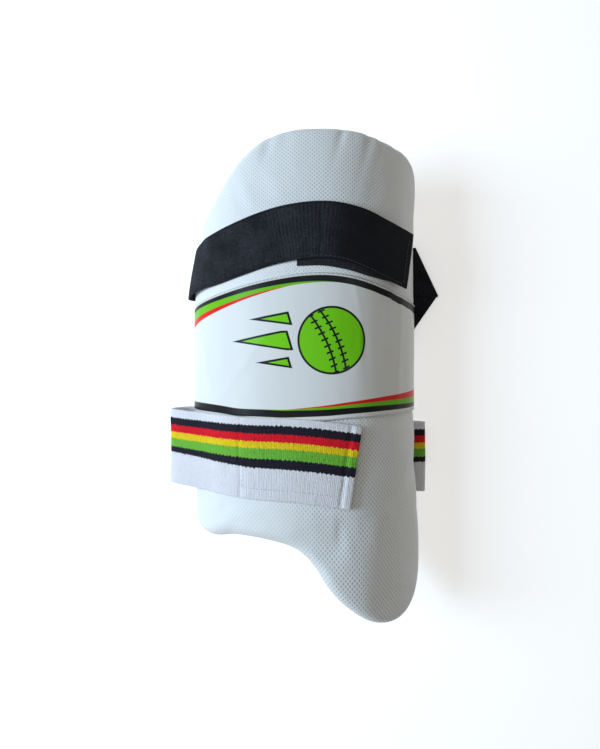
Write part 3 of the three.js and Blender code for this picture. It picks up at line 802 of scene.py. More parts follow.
class BandKit:
    """Rows of cross sections for flat bands. A row is an inner and an outer line of points."""

    @staticmethod
    def front(line: FrontLine, share: Array, width: float, thickness: float, count: int,
              drop: float = 0.0, start: float = 0.0, end: float = 1.0) -> Array:
        """Rows that follow a front line on the pad's face.

        Args:
            line: The centre line.
            share: Places across the band, from 1 at its upper edge to -1 at its lower.
            width: The band's breadth.
            thickness: The band's thickness.
            count: How many rows.
            drop: How far under the line's height the band lies.
            start: Share of the line where the rows start.
            end: Share of the line where they end.

        Returns:
            Array with axes row, face (inner, outer), place across, x y z.
        """
        station, side, broad = line.walk(count, start, end)
        reach = 0.5 * width * broad[:, None] * share[None, :]
        along = station[:, :1] + side[:, :1] * reach
        y = station[:, 1:2] + side[:, 1:2] * reach
        height = station[:, 2:3] - drop
        return np.stack([FORM.over(along, y, height), FORM.over(along, y, height + thickness)], axis=1)

    @staticmethod
    def free(middle: Array, half: Array, through: Array, share: Array) -> Array:
        """One row away from the pad, from its middle, half breadth and way through."""
        inner = middle[None, :] + half[None, :] * share[:, None]
        return np.stack([inner, inner + through[None, :]])[None]

    @classmethod
    def fold(cls, middle: Array, half: Array, outward: Array, thickness: float, share: Array,
             steps: int = 12) -> Array:
        """Rows round a fold, from its lower layer to its upper one, inside face first.

        The rows turn about a line that lies between the two layers: the inside face
        keeps half a gap from it, and the outside face a thickness more.

        Args:
            middle: Middle of the fold line.
            half: Half the fold line, towards the strap's upper edge.
            outward: The way that the fold points to.
            thickness: The band's thickness.
            share: Places across the band.
            steps: How many rows.

        Returns:
            Rows like those of front.
        """
        rows = []
        for turn in np.linspace(-math.pi / 2, math.pi / 2, steps):
            ray = outward * math.cos(turn) + np.array([0.0, 0.0, math.sin(turn)])
            spine = np.array([middle[0], middle[1], thickness + GAP / 2])
            rows.append(cls.free(spine + ray * GAP / 2, half, ray * thickness, share))
        return np.concatenate(rows)

    @staticmethod
    def turned_over(rows: Array) -> Array:
        """The same rows with their two faces exchanged."""
        return rows[:, ::-1]

    @staticmethod
    def half_cross(width: float, run: Array, direction: Array) -> Array:
        """Half a strap's cross line along a direction, for a strap that runs another way."""
        lean = abs(run[0] * direction[1] - run[1] * direction[0])
        return direction * width / 2 / lean

    @staticmethod
    def outward_of(line: Array, run: Array) -> Array:
        """The way square to a fold line that a run of strap points to."""
        outward = np.array([line[1], -line[0], 0.0])
        return outward if outward @ run > 0 else -outward

    @staticmethod
    def densify(rows: Array, step: float) -> Array:
        """Adds rows between neighbours that lie more than a step apart, in straight lines.

        Args:
            rows: Rows of a band.
            step: The longest step allowed along the band's middle.

        Returns:
            The rows with the added ones.
        """
        dense = [rows[:1]]
        steps = np.linalg.norm(np.diff(rows.mean(axis=(1, 2)), axis=0), axis=1)
        for before, after, length in zip(rows[:-1], rows[1:], steps):
            count = max(int(math.ceil(length / step)), 1)
            share = (np.arange(1, count + 1) / count)[:, None, None, None]
            dense.append(before[None] * (1 - share) + after[None] * share)
        return np.concatenate(dense)

    @staticmethod
    def lengths(rows: Array) -> Array:
        """Distance of each row from the first, along the band's middle."""
        return lengths_of(rows.mean(axis=(1, 2)))

    @classmethod
    def close(cls, name: str, rows: Array, share: Array, width: float, thickness: float,
              relief: Array | float = 0.0) -> bpy.types.Object:
        """Makes a closed band from its rows, with half-round edges and ends.

        Args:
            name: The piece's name.
            rows: Rows as the other methods give them.
            share: Places across, from 1 to -1.
            width: The band's breadth.
            thickness: The band's thickness.
            relief: Height added to the outer face, a grid of row and place across.

        Returns:
            The new object. Its UV map holds the length back from the last row and the place across.
        """
        radius = thickness / 2
        length = cls.lengths(rows)
        across = (1.0 - share) * width / 2
        full = (edge_fullness(across, width, radius)[None, :]
                * edge_fullness(length, length[-1], radius)[:, None])
        inner, outer = rows[:, 0], rows[:, 1]
        through = outer - inner
        middle = 0.5 * (inner + outer)
        unit = through / np.linalg.norm(through, axis=-1, keepdims=True)
        low = middle - 0.5 * through * full[..., None]
        high = middle + 0.5 * through * full[..., None] + unit * (relief * full)[..., None]
        uv = np.stack(np.broadcast_arrays((length[-1] - length)[:, None], across[None, :]), axis=-1)
        return MeshKit.slab(name, low, high, uv)

    @classmethod
    def strip(cls, name: str, line: FrontLine, width: float, thickness: float, steps: int, count: int,
              drop: float = 0.0, span: tuple[float, float] = (0.0, 1.0)) -> bpy.types.Object:
        """Makes a strip of fastener tape along a front line.

        Args:
            name: The piece's name.
            line: The centre line.
            width: The strip's breadth.
            thickness: The strip's thickness.
            steps: Steps across between the rounded edges.
            count: How many rows.
            drop: How far under the line's height the strip lies.
            span: Shares of the line where the strip starts and ends.

        Returns:
            The new object.
        """
        share = 1.0 - 2.0 * edge_steps(steps, width, thickness / 2) / width
        rows = cls.front(line, share, width, thickness, count, drop, *span)
        return cls.close(name, end_steps(rows, thickness), share, width, thickness)


def end_steps(rows: Array, thickness: float, fine: int = 4) -> Array:
    """Moves a band's end rows apart so that its rounded ends have close rows.

    Args:
        rows: Rows of the band.
        thickness: The band's thickness.
        fine: How many rows round each end.

    Returns:
        The rows with extra ones inside the first and last half thickness.
    """
    length = BandKit.lengths(rows)
    near = thickness / 2 * (1.0 - np.cos(np.linspace(0.0, math.pi / 2, fine + 1)))
    keep = (length > near[-1] * 1.5) & (length < length[-1] - near[-1] * 1.5)
    at = np.concatenate([near, length[keep], length[-1] - near[::-1]])
    return read_at(at, length, rows.reshape(len(rows), -1)).reshape((len(at),) + rows.shape[1:])


@dataclass
class Strap(ABC):
    """What both elastic straps share: sizes, a flat length, the band and its hook strip."""

    width: float
    thickness: float
    height: float
    bow: float
    tab_width: float
    tab_span: tuple[float, float]
    rows: tuple[tuple[float, float, float, float], ...]
    tab_thickness: float = 1 * MM

    @abstractmethod
    def line(self) -> FrontLine:
        """The strap's centre line over the front."""

    @abstractmethod
    def all_rows(self, share: Array) -> Array:
        """Every row of the strap at places across, from its sewn end to its free end."""

    @abstractmethod
    def relief(self, length: Array, share: Array) -> Array:
        """Height of the strap's outer face at lengths along it and places across."""

    def cut_length(self) -> float:
        """Length of the strap laid flat."""
        return float(BandKit.lengths(self.all_rows(np.array([1.0, 0.0, -1.0])))[-1])

    def band(self, name: str, steps: int, longest: float) -> bpy.types.Object:
        """Makes the strap itself.

        Args:
            name: The piece's name.
            steps: Steps across between the rounded edges.
            longest: The longest step along it.

        Returns:
            The new object.
        """
        share = 1.0 - 2.0 * edge_steps(steps, self.width, self.thickness / 2) / self.width
        rows = end_steps(BandKit.densify(self.all_rows(share), longest), self.thickness)
        relief = self.relief(BandKit.lengths(rows), share)
        return BandKit.close(name, rows, share, self.width, self.thickness, relief)

    def tab(self, name: str) -> bpy.types.Object:
        """Makes the hook strip under the strap's free end."""
        return BandKit.strip(name, self.line(), self.tab_width, self.tab_thickness, 24, 90,
                             self.tab_thickness + GAP, self.tab_span)


@dataclass
class UpperStrap(Strap):
    """The black elastic: sewn under the outer rim, folded twice, over the front."""

    width: float = 44.5 * MM
    thickness: float = 2 * MM
    height: float = 113.5 * MM
    bow: float = 18 * MM
    fold_reach: float = 118 * MM
    fold_height: float = 96 * MM
    sewn_length: float = 28 * MM
    return_length: float = 84 * MM
    patch_thickness: float = 1 * MM
    patch_width: float = 38 * MM
    patch_shift: float = 8.8 * MM
    tab_width: float = 40 * MM
    tab_span: tuple[float, float] = (0.605, 0.985)
    rows: tuple[tuple[float, float, float, float], ...] = (
        (-0.94, 1.25, 0.9, 1.0), (-0.75, 1.0, 0.5, 1.0), (-0.62, 0.86, 0.1, 1.0),
        (-0.47, 0.58, 0.0, 1.0), (-0.34, 0.3, 0.05, 1.0), (-0.2, 0.08, 0.65, 1.0),
        (-0.03, 0.0, 1.0, 1.0), (0.12, 0.17, 1.0, 1.0), (0.31, 0.58, 1.05, 1.03),
        (0.45, 0.86, 1.5, 1.07), (0.57, 1.06, 2.4, 1.1),
    )
    patch_rows: tuple[tuple[float, float, float, float], ...] = (
        (-0.165, 0.0, 0.0, 1.0), (-0.03, 0.0, 0.0, 1.0), (0.12, 0.17, 0.0, 1.0),
        (0.3, 0.45, 0.0, 1.0), (0.5, 0.56, 0.0, 1.0),
    )

    def line(self) -> FrontLine:
        """The strap's centre line over the front."""
        stack = self.patch_thickness + self.tab_thickness + 2 * GAP
        return FrontLine(self.rows, self.height, self.bow, GAP, stack)

    def wrap(self, share: Array) -> Array:
        """Rows round the inner rim, from the floor up to the face, about the rim's centre.

        Args:
            share: Places across the strap.

        Returns:
            Rows like those of a front band.
        """
        form = FORM
        radius = form.thickness / 2
        x, z, normal_x, normal_z = form.section(-form.rim_centre(Side.INNER))
        start = self.line().points()[0]
        centre = np.array([form.ridge_offset + x - normal_x * radius, start[1], z - normal_z * radius])
        face_turn, floor_turn = math.atan2(normal_z, normal_x), 1.5 * math.pi
        half = np.array([0.0, self.width / 2, 0.0])
        rows = []
        for part in np.linspace(0.0, 1.0, 24, endpoint=False):
            turn = floor_turn + (face_turn - floor_turn) * part
            reach = (centre[2] - self.thickness) * (1 - part) + (radius + start[2]) * part
            ray = np.array([math.cos(turn), 0.0, math.sin(turn)])
            rows.append(BandKit.free(centre + ray * reach, half, ray * self.thickness, share))
        return np.concatenate(rows)

    def all_rows(self, share: Array) -> Array:
        """Every row of the strap, from its sewn end to its free end.

        It runs out, folds back under itself at a slant, turns for the inner rim, goes
        round that rim and over the front.

        Args:
            share: Places across the strap.

        Returns:
            Rows like those of a front band.
        """
        upper = 2 * self.thickness + GAP
        down = np.array([0.0, 0.0, -self.thickness])
        across = np.array([0.0, 1.0, 0.0])
        out_run = np.array([0.9965, -0.084, 0.0]) / math.hypot(0.9965, 0.084)
        fold_line = np.array([-0.426, 0.905, 0.0]) / math.hypot(0.426, 0.905)
        fold_out = BandKit.outward_of(fold_line, out_run)
        back_run = out_run - 2 * (out_run @ fold_out) * fold_out
        fold_place = np.array([self.fold_reach, self.fold_height, 0.0])
        sewn_place = fold_place - out_run * self.sewn_length
        turn_place = fold_place + back_run * self.return_length
        wrap = self.wrap(share)
        landing = wrap[0, 0].mean(axis=0)
        home_run = (landing - turn_place) * np.array([1.0, 1.0, 0.0])
        home_run /= np.linalg.norm(home_run)
        turn_line = back_run + home_run
        turn_line /= np.linalg.norm(turn_line)
        lean = turn_line - across
        lean /= np.linalg.norm(lean)
        level = np.array([0.0, 0.0, 1.0])
        over_place = turn_place + home_run * self.width + level * upper
        low_place = turn_place + home_run * self.width * 2 + level * self.thickness
        cross = BandKit.half_cross
        folds = BandKit.fold(fold_place, cross(self.width, out_run, fold_line), fold_out,
                             self.thickness, share)
        turns = BandKit.fold(turn_place, cross(self.width, home_run, turn_line),
                             BandKit.outward_of(turn_line, back_run), self.thickness, share)
        front = BandKit.front(self.line(), share, self.width, self.thickness, 240)
        over_pad = self.lean(np.concatenate([wrap, front]), share)
        return np.concatenate([
            BandKit.free(sewn_place + level * upper, cross(self.width, out_run, across), down, share),
            BandKit.turned_over(folds[::-1]),
            BandKit.turned_over(turns),
            BandKit.free(over_place, cross(self.width, home_run, lean), down, share),
            BandKit.free(low_place, -cross(self.width, home_run, across), down, share),
            over_pad[:, :, ::-1],
        ])

    @staticmethod
    def lean(rows: Array, share: Array) -> Array:
        """Leans the strap where it turns round the pad's inner rim.

        The upper edge is drawn in by 5 mm x ((1 + share) / 2)^1.5 and the lower edge
        stands off by 2.2 mm x ((1 - share) / 2)^1.5. Both fade out by the floor and 64 mm
        above it.

        Args:
            rows: Rows of the strap.
            share: Places across it.

        Returns:
            The rows, moved.
        """
        x, z = rows[..., 0], rows[..., 2]
        body = smoothstep(z, 1 * MM, 9 * MM) * (1.0 - smoothstep(z, 30 * MM, 64 * MM)) * (x < -40 * MM)
        drawn = 5 * MM * ((1.0 + share) / 2.0) ** 1.5 - 2.2 * MM * ((1.0 - share) / 2.0) ** 1.5
        return rows + (drawn * body)[..., None] * np.array([1.0, 0.0, 0.0])

    def relief(self, length: Array, share: Array) -> Array:
        """Height of the gathers: upright ripples where the elastic has drawn together.

        Ripples are sines 3.2 and 2.3 mm long on a stretch 70 to 140 mm from the free
        end, and fade out at the strap's edges. A crease marks where the hook tab starts,
        and a hem ends the strap.

        Args:
            length: Distance of each row from the sewn end.
            share: Places across the strap.

        Returns:
            Height at each row and place across.
        """
        back = (length[-1] - length)[:, None]
        across = 1.0 - np.abs(share[None, :])
        body = np.clip(across * 4.0, 0.0, 1.0)
        drift = 1.3 * MM * np.sin(share[None, :] * 3.1 + back / 0.011)
        zone = smoothstep(back, 70 * MM, 84 * MM) * (1.0 - smoothstep(back, 112 * MM, 140 * MM))
        ripple = 0.14 * MM * np.sin((back + drift) * 2 * math.pi / (3.2 * MM)) * zone
        ripple += 0.10 * MM * np.sin((back - drift * 0.7) * 2 * math.pi / (2.3 * MM) + 1.0) * zone
        crease = -0.55 * MM * bump_of(back + 0.6 * drift, 86 * MM, 1.7 * MM)
        swell = 0.3 * MM * bump_of(back, 80 * MM, 4 * MM) + 0.2 * MM * bump_of(back, 91 * MM, 3 * MM)
        hem = 0.25 * MM * (1.0 - smoothstep(back, 5 * MM, 6.5 * MM))
        return (ripple + crease + swell + hem) * body

    def build(self) -> list[bpy.types.Object]:
        """Makes the strap, its hook tab and the loop patch on the pad."""
        patch_line = FrontLine(self.patch_rows, self.height - self.patch_shift, self.bow, GAP, 0.0)
        return [
            self.band("black_strap", 34, 1.1 * MM),
            self.tab("upper_hook_strip"),
            BandKit.strip("pad_loop_strip", patch_line, self.patch_width, self.patch_thickness, 30, 120),
        ]


@dataclass
class LowerStrap(Strap):
    """The knitted elastic: sewn under the outer rim, folded back, a loose loop, over the front."""

    width: float = 66 * MM
    thickness: float = 2.2 * MM
    height: float = -67.5 * MM
    bow: float = 6 * MM
    loop_bulge: float = 20 * MM
    loop_radius: float = 18 * MM
    loop_height: float = -62.5 * MM
    fold_reach: float = 115.5 * MM
    fold_height: float = -77 * MM
    sewn_length: float = 24 * MM
    tab_width: float = 54 * MM
    tab_span: tuple[float, float] = (0.24, 0.95)
    rows: tuple[tuple[float, float, float, float], ...] = (
        (-0.64, -0.22, 0.0, 1.0), (-0.5, -0.08, 0.0, 1.0), (-0.4, 0.0, 0.0, 1.0),
        (-0.2, 0.05, 0.0, 1.0), (-0.06, 0.33, 0.0, 1.0), (0.05, 0.68, 0.0, 1.0),
        (0.155, 0.99, 0.0, 1.0),
    )
    tab_start: float = 94 * MM
    row_inset: float = 9 * MM

    def line(self) -> FrontLine:
        """The strap's centre line over the front."""
        return FrontLine(self.rows, self.height, self.bow, self.tab_thickness + 2 * GAP, 0.0)

    @staticmethod
    def bezier(first: Array, leave: Array, arrive: Array, last: Array, count: int) -> Array:
        """Points of a cubic curve from first to last, last left out.

        Args:
            first: Where it starts.
            leave: Control point that it leaves towards.
            arrive: Control point that it arrives from.
            last: Where it ends.
            count: How many points.

        Returns:
            The points, one row each.
        """
        t = np.linspace(0.0, 1.0, count, endpoint=False)[:, None]
        return ((1 - t) ** 3 * first + 3 * t * (1 - t) ** 2 * leave
                + 3 * t**2 * (1 - t) * arrive + t**3 * last)

    def loose_loop(self, share: Array) -> Array:
        """Rows of the loop beside the inner rim: a round turn off the floor, then a rise.

        Two cubic curves in the x z plane meet at the loop's widest point.

        Args:
            share: Places across the strap.

        Returns:
            Rows like those of a front band.
        """
        start = self.line().points()[0]
        face = FORM.over(start[0], start[1], start[2])
        _, _, normal_x, normal_z = FORM.section(start[0])
        tangent = np.array([normal_z, -normal_x])
        side = FORM.ridge_offset - FORM.inner_reach - self.loop_bulge + self.thickness
        floor = np.array([side + self.loop_radius, self.thickness])
        bulge = np.array([side, self.thickness + self.loop_radius])
        landing = np.array([face[0], face[2]])
        reach = 0.55 * self.loop_radius
        rise = np.linalg.norm(landing - bulge) * 0.45
        dense = np.vstack([
            self.bezier(floor, floor - [reach, 0.0], bulge - [0.0, reach], bulge, 60),
            self.bezier(bulge, bulge + [0.0, reach], landing - tangent * rise, landing, 60),
            landing[None],
        ])
        path = resample(dense, 61, closed=False)
        run = np.gradient(path, axis=0)
        run /= np.linalg.norm(run, axis=1, keepdims=True)
        rows = []
        half = np.array([0.0, self.width / 2, 0.0])
        for station, way, part in zip(path[:-1], run[:-1], np.linspace(0.0, 1.0, 61)[:-1]):
            y = self.loop_height + (start[1] - self.loop_height) * part
            through = np.array([-way[1], 0.0, way[0]]) * self.thickness
            rows.append(BandKit.free(np.array([station[0], y, station[1]]), half, through, share))
        return np.concatenate(rows)

    def all_rows(self, share: Array) -> Array:
        """Every row of the strap, from its sewn end to its free end.

        Args:
            share: Places across the strap.

        Returns:
            Rows like those of a front band.
        """
        up = np.array([0.0, 0.0, self.thickness])
        half = np.array([0.0, self.width / 2, 0.0])
        fold_place = np.array([self.fold_reach, self.fold_height, 0.0])
        sewn_place = np.array([self.fold_reach - self.sewn_length, self.fold_height, self.thickness + GAP])
        folds = BandKit.fold(fold_place, half, np.array([1.0, 0.0, 0.0]), self.thickness, share)
        return np.concatenate([
            BandKit.free(sewn_place, half, up, share),
            folds[::-1],
            self.loose_loop(share),
            BandKit.front(self.line(), share, self.width, self.thickness, 180),
        ])

    def relief(self, length: Array, share: Array) -> Array:
        """Height of the knit: rounded ribs across the strap, the hem and the tab's start.

        Ribs are the 0.7th power of a sine's size, 3.5 mm apart. The hem is a raised roll
        at the free end with a groove behind it. Over the hook tab the cloth is lumpy,
        and a stitched row sinks beside its lower edge.

        Args:
            length: Distance of each row from the sewn end.
            share: Places across the strap.

        Returns:
            Height at each row and place across.
        """
        back = (length[-1] - length)[:, None]
        across = (1.0 - share[None, :]) * self.width / 2
        body = np.clip(np.minimum(across, self.width - across) / (1.2 * MM), 0.0, 1.0)
        wander = 0.3 * MM * np.sin(across / 0.009 + back / 0.023)
        rib = 0.14 * MM * np.abs(np.sin((back + wander) * math.pi / (3.5 * MM))) ** 0.7
        hem = 1.2 * MM * (1.0 - smoothstep(back, 5 * MM, 8 * MM))
        hem = hem - 0.7 * MM * bump_of(back, 8.8 * MM, 1.3 * MM)
        step = self.tab_start + 1.2 * MM * np.sin(across / 0.012)
        tab = 0.25 * MM * (1.0 - smoothstep(back, step - 4 * MM, step + 2 * MM))
        crease = -0.7 * MM * bump_of(back, step + 2 * MM, 1.6 * MM)
        slack = 0.8 * MM * np.sin(back / 0.017 + 0.4) * np.sin(across / self.width * math.pi) ** 2
        slack = slack * smoothstep(back, 98 * MM, 120 * MM)
        over_tab = back < self.tab_start - 2 * MM
        row = across - self.width + self.row_inset + 0.6 * MM * np.sin(back / 0.006)
        stitched = -0.5 * MM * bump_of(row, 0.0, 0.9 * MM) * over_tab * (back > self.row_inset)
        lumps = 0.25 * MM * np.sin(back / 0.0055 + across / 0.011) * np.sin(across / 0.0065) * over_tab
        return (rib + hem + tab + crease + slack + stitched + lumps) * body

    def build(self) -> list[bpy.types.Object]:
        """Makes the strap and its hook tab."""
        return [self.band("knit_strap", 60, 0.84 * MM), self.tab("lower_hook_strip")]


def math_method(operation: str, summary: str, reflected: bool = False) -> Callable[..., "Number"]:
    """Makes a method of Number that adds one Math node.

    Args:
        operation: The Math node's operation.
        summary: The method's docstring.
        reflected: Whether the other number comes first.

    Returns:
        The method.
    """

    def method(self: "Number", *others: "Number | float") -> "Number":
        """Adds the node. The summary takes this docstring's place."""
        values = (*others, self) if reflected else (self, *others)
        return self.wires.math(operation, *values)

    method.__doc__ = summary
    return method


class Number:
    """A number on a wire of a material; arithmetic on it adds Math nodes."""

    def __init__(self, wires: "Wires", socket: bpy.types.NodeSocket) -> None:
        """Wraps an output socket of a node in wires."""
        self.wires = wires
        self.socket = socket

    __add__ = math_method("ADD", "Sum.")
    __radd__ = math_method("ADD", "Sum with a plain number first.", reflected=True)
    __sub__ = math_method("SUBTRACT", "Difference.")
    __rsub__ = math_method("SUBTRACT", "Difference from a plain number.", reflected=True)
    __mul__ = math_method("MULTIPLY", "Product.")
    __rmul__ = math_method("MULTIPLY", "Product with a plain number first.", reflected=True)
    __truediv__ = math_method("DIVIDE", "Quotient.")
    size = math_method("ABSOLUTE", "Size without sign.")
    least = math_method("MINIMUM", "The lesser of two numbers.")
    most = math_method("MAXIMUM", "The greater of two numbers.")
    wave = math_method("SINE", "Sine of the number.")

    def cell(self) -> "Number":
        """Place within a repeat of 1, from -0.5 to 0.5."""
        return self.wires.math("FRACT", self) - 0.5

    def step(self, low: "Number | float", high: "Number | float") -> "Number":
        """Smooth rise from 0 at low to 1 at high."""
        sockets = {"Value": self, "From Min": low, "From Max": high}
        return Number(self.wires, self.wires.add("ShaderNodeMapRange", SMOOTH, sockets).outputs["Result"])


class Nodes:
    """A node tree, with the one method that adds nodes to it."""

    def __init__(self, tree: bpy.types.NodeTree) -> None:
        """Works on a tree that exists."""
        self.tree = tree

    def fill(self, node: bpy.types.Node, sockets: dict) -> bpy.types.Node:
        """Sets or links input sockets of a node.

        Args:
            node: The node.
            sockets: Input names or numbers, with a plain value, a Number or a socket.

        Returns:
            The same node.
        """
        for label, value in sockets.items():
            value = value.socket if isinstance(value, Number) else value
            if isinstance(value, bpy.types.NodeSocket):
                self.tree.links.new(value, node.inputs[label])
            else:
                node.inputs[label].default_value = value
        return node

    def add(self, kind: str, settings: dict | None = None, sockets: dict | None = None) -> bpy.types.Node:
        """Adds one node: its settings first, then the values or links of its sockets.

        Args:
            kind: The node's type name.
            settings: Properties of the node, set in order.
            sockets: What fill takes.

        Returns:
            The new node.
        """
        node = self.tree.nodes.new(kind)
        for label, value in (settings or {}).items():
            setattr(node, label, value)
        return self.fill(node, sockets or {})


class Blend(Enum):
    """How one colour is laid over another."""

    MIX = "MIX"
    MULTIPLY = "MULTIPLY"


class Wires(Nodes):
    """The node tree of one material, with its shader and helpers that add nodes."""

    def __init__(self, name: str, **constants: float | tuple) -> None:
        """Makes a material with one Principled shader and sets its fixed sockets.

        Args:
            name: The material's name.
            **constants: Socket names, with _ for a space, and their fixed values.
        """
        self.material = bpy.data.materials.new(name)
        self.material.use_nodes = True
        super().__init__(self.material.node_tree)
        self.shader = self.tree.nodes["Principled BSDF"]
        self.fill(self.shader, {label.replace("_", " "): value for label, value in constants.items()})

    def math(self, operation: str, *values: "Number | float") -> Number:
        """Adds a Math node and returns its result."""
        node = self.add("ShaderNodeMath", {"operation": operation}, dict(enumerate(values)))
        return Number(self, node.outputs[0])

    def unrolled(self, layer: str = "UVMap") -> tuple[Number, Number]:
        """Reads a UV map.

        Args:
            layer: The map's name.

        Returns:
            Its two coordinates, in metres.
        """
        source = self.add("ShaderNodeUVMap", {"uv_map": layer})
        split = self.add("ShaderNodeSeparateXYZ", None, {0: source.outputs["UV"]})
        return Number(self, split.outputs["X"]), Number(self, split.outputs["Y"])

    def noise(self, scale: float, detail: float = 2.0,
              scaling: tuple[float, float, float] = (1, 1, 1)) -> Number:
        """Smooth noise on the object's own coordinates.

        Args:
            scale: Lumps to a metre.
            detail: How many finer layers it has.
            stretch: Scale along each axis.

        Returns:
            The noise, from 0 to 1.
        """
        place = self.add("ShaderNodeTexCoord")
        mapping = self.add("ShaderNodeMapping", None, {"Vector": place.outputs["Object"], "Scale": scaling})
        node = self.add("ShaderNodeTexNoise", None,
                        {"Vector": mapping.outputs[0], "Scale": scale, "Detail": detail})
        return Number(self, node.outputs["Fac"])

    def blend(self, factor: "Number | float", first: "Colour | bpy.types.NodeSocket",
              second: "Colour | bpy.types.NodeSocket", way: Blend = Blend.MIX) -> bpy.types.NodeSocket:
        """Lays a second colour over a first.

        Args:
            factor: How far, from 0 to 1.
            first: A plain colour or a socket.
            second: A plain colour or a socket.
            way: How it is laid over.

        Returns:
            Socket of the new colour.
        """
        first, second = ((*side, 1.0) if isinstance(side, tuple) else side for side in (first, second))
        settings = {"data_type": "RGBA", "blend_type": way.value, "clamp_factor": True}
        return self.add("ShaderNodeMix", settings, {0: factor, 6: first, 7: second}).outputs[2]

    def feed(self, label: str, value: "Number | bpy.types.NodeSocket") -> None:
        """Links a value that changes over the surface to one of the shader's sockets."""
        self.fill(self.shader, {label: value})

    def raise_by(self, height: Number, distance: float, strength: float = 1.0) -> None:
        """Feeds a height in shares of a distance to the shader's normal, through a Bump."""
        sockets = {"Height": height, "Distance": distance, "Strength": strength}
        self.feed("Normal", self.add("ShaderNodeBump", None, sockets).outputs["Normal"])


@dataclass(frozen=True)
class MeshCover:
    """White air mesh: matte cloth with staggered rows of small holes."""

    cloth: Colour = (0.73, 0.745, 0.75)
    # The hole colour is painted shade in the holes, tinted blue like the window light.
    hole_shade: Colour = (0.32, 0.37, 0.43)
    pitch_across: float = 3.5 * MM
    rows_per_metre: float = 280.0
    rows_gained: float = 150.0

    def material(self) -> bpy.types.Material:
        """Builds the cloth: two grids of holes, half a pitch apart each way.

        The rows of holes draw together up the guard: their number to y is a y + b y^2.
        Where the cover is stretched over the ridge, from the lobe to the crown, the holes
        are open and clear. They close towards both sides.
        """
        wires = Wires("mesh_cover", Roughness=0.85, Sheen_Weight=0.1, Sheen_Roughness=0.5)
        from_ridge, height = wires.unrolled()
        across = from_ridge / self.pitch_across
        along = height * (self.rows_per_metre + height * self.rows_gained)
        aside = (from_ridge - 11 * MM + height * 0.14).size()
        # Painted shade: the holes' shade, with their bump, fades towards both sides of the ridge.
        scaling = 1.0 - 0.62 * aside.step(26 * MM, 78 * MM) - 0.26 * from_ridge.step(34 * MM, 72 * MM)
        distances = []
        for shift in (0.0, 0.5):
            x, y = (across + shift).cell(), (along + shift).cell()
            distances.append(wires.math("SQRT", x * x + (y * y) * 0.75))
        near = distances[0].least(distances[1])
        # Painted shade: the holes' shade and bump also change with the height up the guard.
        strength_by_height = 0.92 - 0.36 * height.step(-90 * MM, 20 * MM) + 0.40 * height.step(95 * MM, 150 * MM)
        # Painted shade in the holes; the same mask sinks them in the bump.
        pit_and_shade = (1.0 - near.step(0.08, 0.27)) * strength_by_height * scaling
        uneven = wires.noise(160.0, 3.0)
        colour = wires.blend(pit_and_shade * (0.5 + 0.5 * uneven), self.cloth, self.hole_shade)
        soft = wires.noise(9.0, 2.0)
        colour = wires.blend(soft.step(0.35, 0.75) * 0.10, colour, (0.70, 0.72, 0.74))
        wires.feed("Base Color", colour)
        weave = (across * (math.pi * 4)).wave() * (along * (math.pi * 4)).wave()
        wires.raise_by(1.0 - pit_and_shade + weave * 0.10 + uneven * 0.2, 0.3 * MM, 0.8)
        return wires.material


